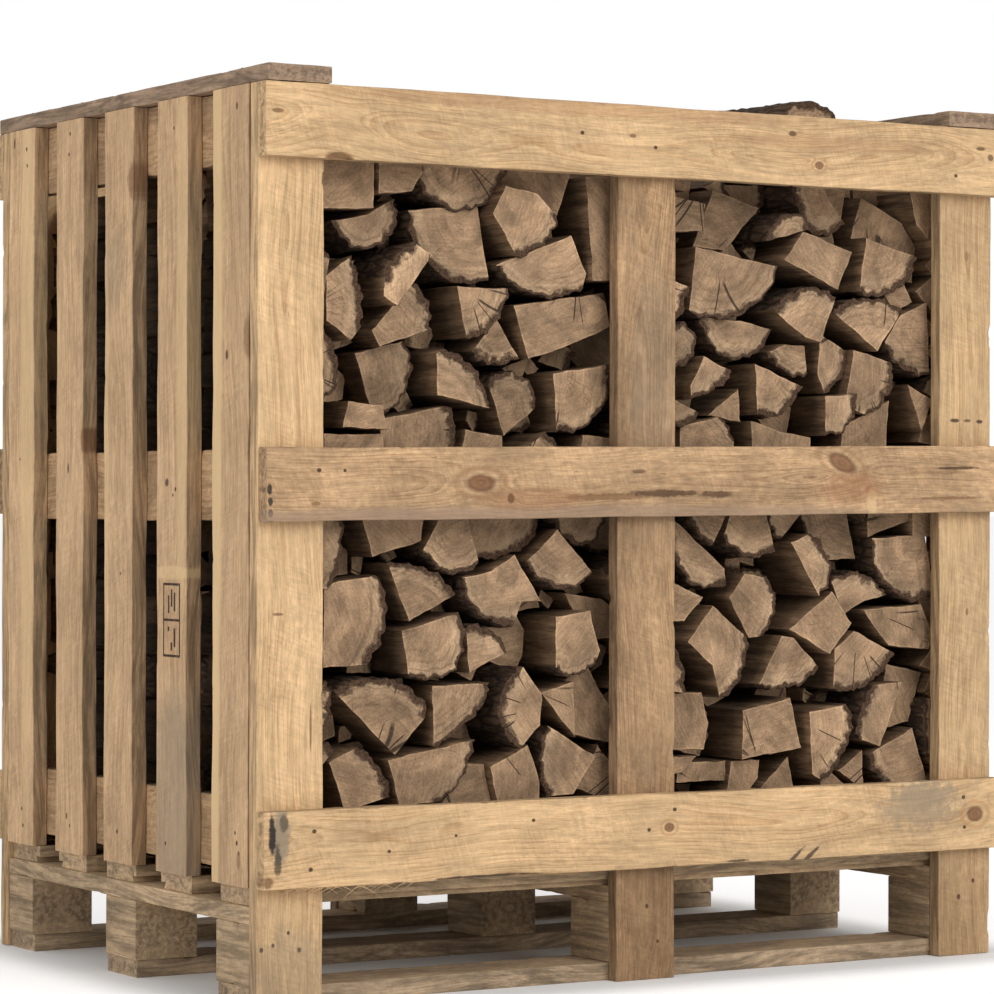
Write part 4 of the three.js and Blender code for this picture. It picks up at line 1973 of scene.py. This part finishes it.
HERO_BOARDS: tuple[Board, ...] = (
    Board(
        "rail_front_top", PINE, 41, 5.0, 0.4, (-6.0, 26.0), 12.0, 1.4,
        spots=(
            Spot(-505, -8, 42, 20, Tint.BROWN, 0.18, 0.5, 24.0), Spot(-582, 10, 9, 3, Tint.BROWN, 0.8),
            Spot(-491, -45, 22, 6, Tint.BROWN, 0.75, 0.3), dot(-120, 6, 3.6),
            Spot(-100, 26, 60, 14, Tint.BROWN, 0.12, 0.5, 12.0),
            Spot(-39, 6, 6, 3, Tint.BROWN, 0.8, 0.3, 5.0), dot(-2, -8, 3.4),
            Spot(227, 23, 7, 4, Tint.OLD_KNOT, 0.8, 0.3, 8.0), knot(273, -19, 8, 6, 9.0), dot(515, -22, 3.4),
            Spot(560, 19, 9, 3, Tint.OLD_KNOT, 0.7, 0.3, 5.0),
            Spot(578, 7, 6, 5, Tint.OLD_KNOT, 0.7, 0.3, 5.0),
            Spot(-100, 40, 420, 12, Tint.RED, 0.3, 0.8), Spot(300, 12, 200, 12, Tint.RED, 0.25, 0.9),
        ),
        wanes=(Wane(0, 6.0, -512, -470),),
    ),
    Board(
        "rail_front_middle", PINE_AGED, 42, 5.0, 0.66, (4.0, 24.0), 10.0, 1.8, 0.011, (1195.0, 97.0),
        spots=(
            knot(-278, 0, 25, 13, 20.0), knot(314, 24, 29, 13, 20.0, -24.0),
            Spot(362, -13, 9, 6, Tint.RED, 0.8, 0.25, 6.0), Spot(366, -32, 9, 22, Tint.PALE, 0.5, 0.4),
            Spot(-232, -21, 6, 7, Tint.DOT, 0.85, 0.35, 5.0), Spot(-28, 14, 13, 3, Tint.OLD_KNOT, 0.65, 0.5),
            Spot(-80, -20, 80, 5, Tint.BROWN, 0.7, 0.75), Spot(15, -16, 62, 5, Tint.OLD_KNOT, 0.75, 0.75),
            Spot(98, -18, 30, 5, Tint.OLD_KNOT, 0.7, 0.75), Spot(516, 16, 42, 2.4, Tint.DOT, 0.8, 0.5),
            Spot(505, -27, 60, 2.5, Tint.BROWN, 0.7, 0.7), dot(-521, 18, 3.6), dot(-483, 17.5, 2.8),
            Spot(-526, -25, 8, 3, Tint.BROWN, 0.7), Spot(-593, -6, 4, 8, Tint.SOOT, 0.9, 0.4),
            Spot(-592, -22, 4, 6, Tint.SOOT, 0.9, 0.4), Spot(-592, -37, 4, 6, Tint.SOOT, 0.9, 0.4),
            Spot(-250, -50, 700, 21, Tint.PINK_GREY, 0.65, 0.25), Spot(330, -10, 60, 24, Tint.RED, 0.45, 0.6),
            Spot(-200, -22, 90, 16, Tint.RED, 0.4, 0.6),
        ),
    ),
    Board(
        "rail_front_bottom", PINE, 43, 5.0, 0.56, (14.0, 34.0), 9.0, 2.0,
        spots=(
            Spot(-577, 18, 15, 40, Tint.GREY, 0.8, 0.7), Spot(-588, 22, 5.5, 30, Tint.SOOT, 0.95, 0.8),
            Spot(-580, -14, 6, 22, Tint.SOOT, 0.75, 0.8), Spot(-572, 36, 7, 12, Tint.SOOT, 0.6, 0.9),
            dot(-527, 23, 3.6), dot(-532, -26, 3.6), dot(-195, 23, 3.2), dot(-315, 8), dot(-416, -8, 3.0),
            dot(-10, 2, 3.4), knot(23, 4, 9, 7, 7.0), dot(32, 28, 3.6), dot(531, 25, 3.8), dot(533, -18, 3.6),
            knot(552, 0, 16, 12, 12.0), Spot(450, 14, 70, 36, Tint.GREY, 0.5, 1.1),
            Spot(470, 30, 60, 24, Tint.GREY, 0.4, 1.4),
            Spot(234, -46, 18, 3, Tint.SOOT, 0.8, 1.0, 0.0, 38.0),
            Spot(262, -44, 20, 3, Tint.SOOT, 0.8, 1.0, 0.0, 38.0),
            Spot(135, -47, 22, 2, Tint.SOOT, 0.8, 0.9), Spot(-265, -48, 80, 2, Tint.SOOT, 0.8, 0.9),
            Spot(-594, -41, 8, 8, Tint.BROWN, 0.8, 0.8),
        ),
        wanes=(Wane(0, 3.6, -345, -180),),
    ),
    Board(
        "post_front_left", PINE, 44, 5.0, 0.62, (2.0, 21.0), 10.0, 1.4,
        spots=(
            Spot(-89, -18, 2.2, 9, Tint.BROWN, 0.8), Spot(-237, 30, 34, 1.6, Tint.BROWN, 0.8),
            dot(-520, -41, 3.6), dot(-523, 14, 3.8), dot(-500, -2, 3.0), dot(-515, -24, 3.2),
            Spot(-560, 0, 70, 60, Tint.GREY, 0.35, 0.7),
        ),
    ),
    Board(
        "post_front_middle", PINE_AGED, 45, 5.0, 0.28, (-8.0, 30.0), 9.0, 1.8,
        spots=(
            Spot(-505, -4, 20, 10, Tint.PALE, 0.2, 0.6), dot(-496, 2, 3.6), dot(-545, 20, 3.0),
            Spot(-530, 0, 90, 60, Tint.BROWN, 0.3, 0.6), Spot(200, 10, 200, 40, Tint.GREY, 0.25, 0.8),
        ),
        tint=(0.98, 0.96, 0.94, 1.0),
    ),
    Board(
        "post_front_right", PINE, 46, 5.0, 0.24, (6.0, 26.0), 9.0, 1.4,
        spots=(
            Spot(175, -19, 3, 9, Tint.SOOT, 0.85, 0.5), Spot(175, 4, 2.4, 7, Tint.SOOT, 0.7, 0.6),
            Spot(174, 26, 3, 7, Tint.SOOT, 0.85, 0.5), Spot(413, 2, 8, 4, Tint.BROWN, 0.5, 0.5),
            Spot(-101, 4, 6, 3, Tint.BROWN, 0.7), dot(-512, -10, 4.2), dot(-490, 16, 3.8),
            Spot(-540, 0, 80, 60, Tint.BROWN, 0.3, 0.7),
        ),
    ),
    Board(
        "slat_left_1", SLAT_PINE, 47, 6.0, 0.4, (26.0, 40.0), 10.0, 0.7, wave=3.2,
        spots=(
            Spot(180, 46, 700, 24, Tint.PALE, 0.75, 0.06), Spot(-400, 46, 300, 18, Tint.PALE, 0.7, 0.08),
            Spot(194, -49, 30, 12, Tint.BROWN, 0.6, 0.5, 10.0), Spot(171, 10, 7, 4, Tint.DOT, 0.8, 0.4),
            Spot(493, -17, 6, 3, Tint.DOT, 0.8, 0.4), dot(-463, -21, 3.6), dot(-476, -27, 3.0),
            dot(-450, -16, 2.8), Spot(-484, -26, 14, 5, Tint.BROWN, 0.6, 0.6),
        ),
    ),
    Board(
        "slat_left_2", SLAT_PINE, 48, 6.0, 0.46, (-12.0, 44.0), 10.0, 0.7, wave=3.2,
        spots=(
            Spot(5, 14, 6, 6, Tint.DOT, 0.8, 0.4, 6.0), dot(-4, -12, 3.4), dot(-12, -4, 2.6),
            dot(480, -5, 3.0),
            Spot(-116, -2, 10, 70, Tint.PALE, 0.6, 0.1),
            Spot(-420, -10, 160, 70, Tint.GREY, 0.5, 0.3), Spot(200, -30, 420, 18, Tint.PALE, 0.4, 0.1),
            Spot(-190, 0, 76, 60, Tint.BROWN, 0.16, 0.3), dot(-480, 16, 3.0),
        ),
        stamp=Stamp(-179.5, -1.0, 24.0, 24.0),
    ),
    Board(
        "slat_left_3", SLAT_PINE, 49, 6.0, 0.44, (20.0, 34.0), 12.0, 0.7, wave=3.2,
        spots=(
            Spot(420, -47, 26, 20, Tint.KNOT, 0.6, 0.5, 14.0), dot(-476, 1, 3.6), dot(-120, -8, 2.4),
            Spot(300, 10, 60, 30, Tint.GREY, 0.25, 0.8), Spot(0, 40, 400, 10, Tint.PALE, 0.4, 0.3),
        ),
    ),
    Board(
        "slat_left_4", SLAT_PINE, 50, 6.0, 0.46, (-24.0, 38.0), 10.0, 0.7, wave=3.2,
        spots=(
            Spot(66, -47, 20, 9, Tint.KNOT, 0.7, 0.4, 9.0), Spot(26, 4, 8, 3, Tint.DOT, 0.8, 0.4),
            dot(471, 4, 3.2), dot(500, 0, 3.2), Spot(-467, 6, 5, 3, Tint.DOT, 0.8), dot(-480, -4, 2.8),
        ),
    ),
    Board(
        "slat_left_5", SLAT_PINE, 51, 6.0, 0.56, (30.0, 42.0), 10.0, 0.7, wave=3.2,
        spots=(
            Spot(120, -20, 640, 26, Tint.PALE, 0.5, 0.15), dot(490, -18, 3.6), dot(466, -20, 3.0),
            Spot(502, 25, 9, 3, Tint.DOT, 0.8, 0.4), dot(-468, -6, 3.2), dot(-492, -10, 3.0), dot(40, 4, 2.4),
        ),
    ),
)


@dataclass(frozen=True)
class Crate:
    """The frames, the slatted sides and the cap boards."""

    SLAT_TONES = (0.42, 0.46, 0.44, 0.48, 0.54)

    def boards(self) -> list[Board]:
        """List the boards of the crate above the pallet.

        Returns:
            Every board.
        """
        found = list(HERO_BOARDS)
        done = {board.node for board in found}
        seed = 60
        for end in ("front", "rear"):
            names = [f"rail_{end}_{tier}" for tier in TIERS] + [f"post_{end}_{col}" for col in COLUMNS]
            for name in names:
                seed += 1
                if name in done:
                    continue
                finish = PINE_AGED if "middle" in name else PINE
                spots = (
                    knot(-260.0 + seed * 3, 8.0, 15.0, 9.0, 10.0), knot(240.0 - seed * 2, -14.0, 9.0, 7.0),
                    dot(90.0 + seed, 20.0), dot(-420.0 + seed, -22.0, 3.2),
                )
                found.append(Board(name, finish, seed, 7.0, 0.52, spots=spots))
        for side in ("left", "right"):
            for number, tone in enumerate(self.SLAT_TONES, 1):
                seed += 1
                if f"slat_{side}_{number}" in done:
                    continue
                pith = (-20.0 + 9.0 * number, 26.0 + 5.0 * number)
                spots = (
                    knot(410.0 - 40 * number, 6.0, 12.0, 7.0),
                    knot(-150.0 + 60 * number, -18.0, 7.0, 5.0, 5.0),
                    dot(300.0 - 130 * number, 24.0), dot(-380.0 + 50 * number, 12.0, 3.2),
                )
                found.append(Board(f"slat_{side}_{number}", SLAT_PINE, seed, 7.0, tone, pith, 14.0, 0.7,
                                   spots=spots, wave=3.2))
            for tier in TIERS:
                seed += 1
                found.append(Board(f"side_rail_{side}_{tier}", PINE_AGED, seed, 9.0, 0.45))
            seed += 1
            found.append(Board(f"cap_board_{side}", CAP_WOOD, seed, 6.0, 0.5, wave=1.6))
        return found

    def build(self) -> None:
        """Cut and dress every board."""
        for board in self.boards():
            board.build()


@dataclass(frozen=True)
class Pallet:
    """The block pallet: bottom boards, blocks, stringers and deck boards."""

    def boards(self) -> list[Board]:
        """List the boards and blocks of the pallet.

        Returns:
            Every board and block.
        """
        found, seed = [], 200
        for row in ("front", "middle", "rear"):
            seed += 1
            found.append(Board(f"bottom_board_{row}", PALLET_DARK, seed, 7.0, 0.5, chips=1.8, wave=1.6))
            for column in COLUMNS:
                seed += 1
                found.append(Board(f"block_{row}_{column}", PALLET, seed, 4.0, 0.5, (30.0, 40.0), 2.0, 2.4,
                                   axis=1))
        for column in COLUMNS:
            seed += 1
            found.append(Board(f"stringer_{column}", PALLET, seed, 8.0, 0.6, chips=2.0))
        for number in range(1, 6):
            seed += 1
            wane = (Wane(0 if number % 2 else 1, 13.0),)
            found.append(Board(f"deck_board_{number}", PALLET, seed, 7.0, 0.55, chips=2.2, wanes=wane))
        return found

    def build(self) -> None:
        """Cut and dress every board."""
        for board in self.boards():
            board.build()


@dataclass(frozen=True)
class Nails:
    """Nail heads where two boards cross, but not on boards that have marks of their own.

    Attributes:
        radius: A head's radius in mm.
        crown: How far its middle stands out, in mm.
        sides: How many sides it has.
    """

    radius: float = 3.4
    crown: float = 0.8
    sides: int = 10

    def steel(self) -> bpy.types.Material:
        """Make dull, slightly rusted steel.

        Returns:
            The material.
        """
        graph = Graph("nail_steel")
        rust = graph.noise(graph.place(), 260.0, 3.0, 0.6)
        colour = graph.mix(graph.step(rust, 0.4, 0.62), srgb(84, 80, 76), srgb(92, 62, 42))
        graph.shader.inputs["Metallic"].default_value = 0.6
        return graph.finish(colour, rust, 0.55, 0.0004)

    def heads(self, spots: np.ndarray, facings: np.ndarray, seed: int) -> Surface:
        """Return all the heads as one surface.

        Each is a ring at the wood, a smaller ring a little way out, a middle point in front and
        one behind.

        Args:
            spots: Where the heads sit, one row each, in metres.
            facings: The way each faces, as unit vectors.
            seed: How they vary in size.

        Returns:
            The surface.
        """
        rng = np.random.default_rng(seed)
        number = len(spots)
        turn = np.arange(self.sides) / self.sides * math.tau
        side_a = np.where(np.abs(facings[:, [2]]) > 0.9, [[1.0, 0.0, 0.0]], [[0.0, 0.0, 1.0]])
        side_b = np.cross(facings, side_a)
        circle = (np.cos(turn)[None, :, None] * side_a[:, None, :]
                  + np.sin(turn)[None, :, None] * side_b[:, None, :])
        radius = self.radius * MM * rng.uniform(0.85, 1.15, number)[:, None, None]
        out = facings[:, None, :]
        outer = spots[:, None, :] + circle * radius - out * 0.3 * MM
        inner = spots[:, None, :] + circle * radius * 0.78 + out * self.crown * 0.7 * MM
        front = spots[:, None, :] + out * self.crown * MM
        behind = spots[:, None, :] - out * 1.4 * MM
        block = np.concatenate([outer, inner, front, behind], 1)
        each = block.shape[1]
        ring = np.arange(self.sides)
        nxt = (ring + 1) % self.sides
        quads = np.stack([ring, nxt, nxt + self.sides, ring + self.sides], -1)
        top = np.stack([ring + self.sides, nxt + self.sides, np.full(self.sides, each - 2)], -1)
        base = np.stack([nxt, ring, np.full(self.sides, each - 1)], -1)
        triangles = np.concatenate([top, base])
        shift = np.arange(number)[:, None, None] * each
        return Surface(
            block.reshape(-1, 3), (quads[None] + shift).reshape(-1, 4),
            (triangles[None] + shift).reshape(-1, 3),
        ).outward()

    def crossings(self) -> tuple[np.ndarray, np.ndarray]:
        """Return the place and facing of every head.

        Returns:
            Places in metres and unit facings, one row each.
        """
        rng = np.random.default_rng(5)
        spots, ways = [], []
        marked = {board.node for board in HERO_BOARDS}

        def pair(first: str, second: str, axis: int, way: float) -> None:
            """Put two heads where two boards cross, unless the first has marks of its own.

            Args:
                first: The outer board's node.
                second: The inner board's node.
                axis: The axis that the heads face along.
                way: Which way along it, -1 or 1.
            """
            if first in marked:
                return
            (low_a, high_a), (low_b, high_b) = (np.array(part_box(name)) for name in (first, second))
            low, high = np.maximum(low_a, low_b), np.minimum(high_a, high_b)
            middle, half = (low + high) / 2, (high - low) / 2
            for sign in (-1.0, 1.0):
                share = rng.uniform(0.35, 0.6, 3)
                spot = middle + sign * half * share * np.array([1, 1, rng.choice([-1, 1])])
                spot[axis] = (high_a if way > 0 else low_a)[axis] - way * 0.35 * MM
                facing = np.zeros(3)
                facing[axis] = way
                spots.append(spot)
                ways.append(facing)

        for end, way in (("front", -1.0), ("rear", 1.0)):
            for column in COLUMNS:
                for tier in TIERS:
                    pair(f"rail_{end}_{tier}", f"post_{end}_{column}", 1, way)
        for side, way in (("left", -1.0), ("right", 1.0)):
            for number in range(1, 6):
                for tier in TIERS:
                    pair(f"slat_{side}_{number}", f"side_rail_{side}_{tier}", 0, way)
                pair(f"cap_board_{side}", f"slat_{side}_{number}", 2, 1.0)
        return np.array(spots), np.array(ways)

    def build(self) -> None:
        """Make every head as one piece."""
        spots, ways = self.crossings()
        make_piece("nail_heads", self.heads(spots, ways, 3), self.steel(), ())


@dataclass(frozen=True)
class Splinters:
    """Splinters torn from the lower left edge of the bottom front rail.

    Attributes:
        number: How many there are.
        reach: The share of the rail's length that they hang from.
        stations: Stations along each.
    """

    number: int = 26
    reach: float = 0.2
    stations: int = 6

    def build(self) -> None:
        """Make every splinter as one piece.

        Each is a square rod that starts inside the rail's edge, runs mostly along it, droops by the
        square of the way along and thins to its tip.
        """
        rng = np.random.default_rng(17)
        low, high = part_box("rail_front_bottom")
        number = self.number
        share = np.linspace(0.0, 1.0, self.stations)[None, :, None]
        way = rng.choice([-1.0, 1.0], number)
        length = rng.uniform(12.0, 36.0, number)[:, None, None] * MM
        start = np.stack([
            low[0] + (high[0] - low[0]) * rng.uniform(0.035, self.reach, number),
            np.full(number, low[1] + 1.5 * MM), np.full(number, low[2] + 1.0 * MM),
        ], -1)[:, None, :]
        ahead = np.stack([way, rng.uniform(-0.2, 0.0, number), rng.uniform(-0.35, -0.05, number)], -1)
        droop = np.array([0.0, 0.0, -0.35])
        middle = start + length * (ahead[:, None, :] * share + droop * share ** 2)
        turn = (np.arange(4) + 0.5) / 4 * math.tau
        thick = rng.uniform(0.5, 1.1, number)[:, None, None] * MM * (1.0 - 0.9 * share)
        ring = np.stack([
            np.zeros((number, 4)), way[:, None] * np.cos(turn), np.repeat(np.sin(turn)[None], number, 0),
        ], -1)
        points = middle[:, :, None, :] + ring[:, None, :, :] * thick[..., None]
        corner = np.arange(4)
        rod = np.concatenate([
            tube_faces(self.stations, 4), corner[None, ::-1], corner[None] + 4 * (self.stations - 1),
        ])
        quads = rod[None] + (np.arange(number) * 4 * self.stations)[:, None, None]
        flat = points.reshape(-1, 3)
        surface = Surface(flat, quads.reshape(-1, 4), np.zeros((0, 3), dtype=int), {"grain": flat}).outward()
        make_piece("rail_splinters", surface, shared_timber(PINE), ())


# ---------------------------------------------------------------------------
# Studio
# ---------------------------------------------------------------------------


@dataclass(frozen=True)
class Studio:
    """A pale floor, a pale sky, soft lights and the camera.

    Attributes:
        stand: Where the camera stands, in metres.
        azimuth: Which way it looks, from +Y towards +X, in degrees.
        pitch: How far it looks up, in degrees.
        roll: Its roll in degrees.
        lens: Its focal length in mm, on a 36 mm sensor.
        sky: How strong the sky's light is.
        key: The key light's power in watts.
        side: The side light's power in watts.
        FLOOR_HALF: Half the floor's side, in metres.
        FOOTPRINT: Half the crate's length and depth, in metres. The floor glows only past it,
            so under the crate it is left darker, as painted shade.
    """

    stand: Triple = (-2.781, -4.611, 0.656)
    azimuth: float = 31.15
    pitch: float = 0.04
    roll: float = 0.13
    lens: float = 133.4
    sky: float = 0.62
    key: float = 232.0
    side: float = 105.0

    FLOOR_HALF = 120.0
    FOOTPRINT = (0.6, 0.43)

    def camera(self) -> None:
        """Place the camera and make it the scene's."""
        azimuth, pitch, roll = (math.radians(a) for a in (self.azimuth, self.pitch, self.roll))
        ahead = Vector((
            math.sin(azimuth) * math.cos(pitch), math.cos(azimuth) * math.cos(pitch), math.sin(pitch),
        ))
        level = Vector((math.cos(azimuth), -math.sin(azimuth), 0.0))
        plumb = level.cross(ahead)
        right = level * math.cos(roll) + plumb * math.sin(roll)
        up = plumb * math.cos(roll) - level * math.sin(roll)
        data = bpy.data.cameras.new("camera")
        data.lens, data.sensor_width, data.clip_end = self.lens, 36.0, 300.0
        camera = bpy.data.objects.new("camera", data)
        turn = Matrix((right, up, -ahead)).transposed().to_4x4()
        camera.matrix_world = Matrix.Translation(Vector(self.stand)) @ turn
        bpy.context.scene.collection.objects.link(camera)
        bpy.context.scene.camera = camera

    def lamp(self, name: str, place: Triple, aim: Triple, size: float, power: float) -> None:
        """Add a square soft light.

        Args:
            name: Its name.
            place: Where it hangs, in metres.
            aim: The point it faces.
            size: Its side in metres.
            power: Its power in watts.
        """
        data = bpy.data.lights.new(name, "AREA")
        data.size, data.energy = size, power
        lamp = bpy.data.objects.new(name, data)
        lamp.location = place
        lamp.rotation_euler = (Vector(aim) - Vector(place)).to_track_quat("-Z", "Y").to_euler()
        bpy.context.scene.collection.objects.link(lamp)

    def floor(self) -> None:
        """Lay the pale floor."""
        mesh = bpy.data.meshes.new("studio_floor")
        half = self.FLOOR_HALF
        mesh.from_pydata([(-half, -half, 0), (half, -half, 0), (half, half, 0), (-half, half, 0)], [],
                         [(0, 1, 2, 3)])
        graph = Graph("studio_floor")
        graph.shader.inputs["Base Color"].default_value = (0.9, 0.9, 0.9, 1.0)
        graph.shader.inputs["Emission Color"].default_value = (1.0, 1.0, 1.0, 1.0)
        path = graph.tree.nodes.new("ShaderNodeLightPath")
        x, y, _ = graph.separate(graph.place())
        beyond_x = graph.minus(graph.magnitude(x), self.FOOTPRINT[0])
        beyond_y = graph.minus(graph.magnitude(y), self.FOOTPRINT[1])
        beyond = graph.larger(beyond_x, beyond_y)
        # Camera rays see the floor glow, which keeps it white; the glow fades out over 0.12 m towards the
        # crate's footprint, leaving painted shade on the floor under and round the crate.
        glow = graph.times(path.outputs["Is Camera Ray"], graph.step(beyond, 0.0, 0.12, 0.0, 0.36))
        graph.tree.links.new(glow, graph.shader.inputs["Emission Strength"])
        graph.shader.inputs["Roughness"].default_value = 0.9
        mesh.materials.append(graph.material)
        floor = bpy.data.objects.new("studio_floor", mesh)
        bpy.context.scene.collection.objects.link(floor)

    def build(self) -> None:
        """Set up the floor, the sky, the lights and the camera."""
        world = bpy.data.worlds.new("studio_sky")
        world.use_nodes = True
        tree = world.node_tree
        sky = tree.nodes["Background"]
        sky.inputs["Color"].default_value = (1.0, 1.0, 1.0, 1.0)
        path = tree.nodes.new("ShaderNodeLightPath")
        strength = tree.nodes.new("ShaderNodeMapRange")
        strength.inputs["To Min"].default_value = self.sky
        strength.inputs["To Max"].default_value = 1.0
        tree.links.new(path.outputs["Is Camera Ray"], strength.inputs["Value"])
        tree.links.new(strength.outputs["Result"], sky.inputs["Strength"])
        bpy.context.scene.world = world
        bpy.context.scene.view_settings.view_transform = "Standard"
        self.floor()
        self.lamp("key_light", (0.8, -6.6, 3.6), (0.0, -0.3, 0.6), 3.6, self.key)
        self.lamp("side_light", (-6.4, -1.6, 2.4), (-0.5, 0.0, 0.5), 3.2, self.side)
        self.camera()


def main() -> None:
    """Build every sub-assembly in order."""
    logging.basicConfig(level=logging.INFO, format="%(message)s")
    Studio().build()
    Pallet().build()
    Crate().build()
    Firewood().build()
    Nails().build()
    Splinters().build()


if __name__ == "__main__":
    main()
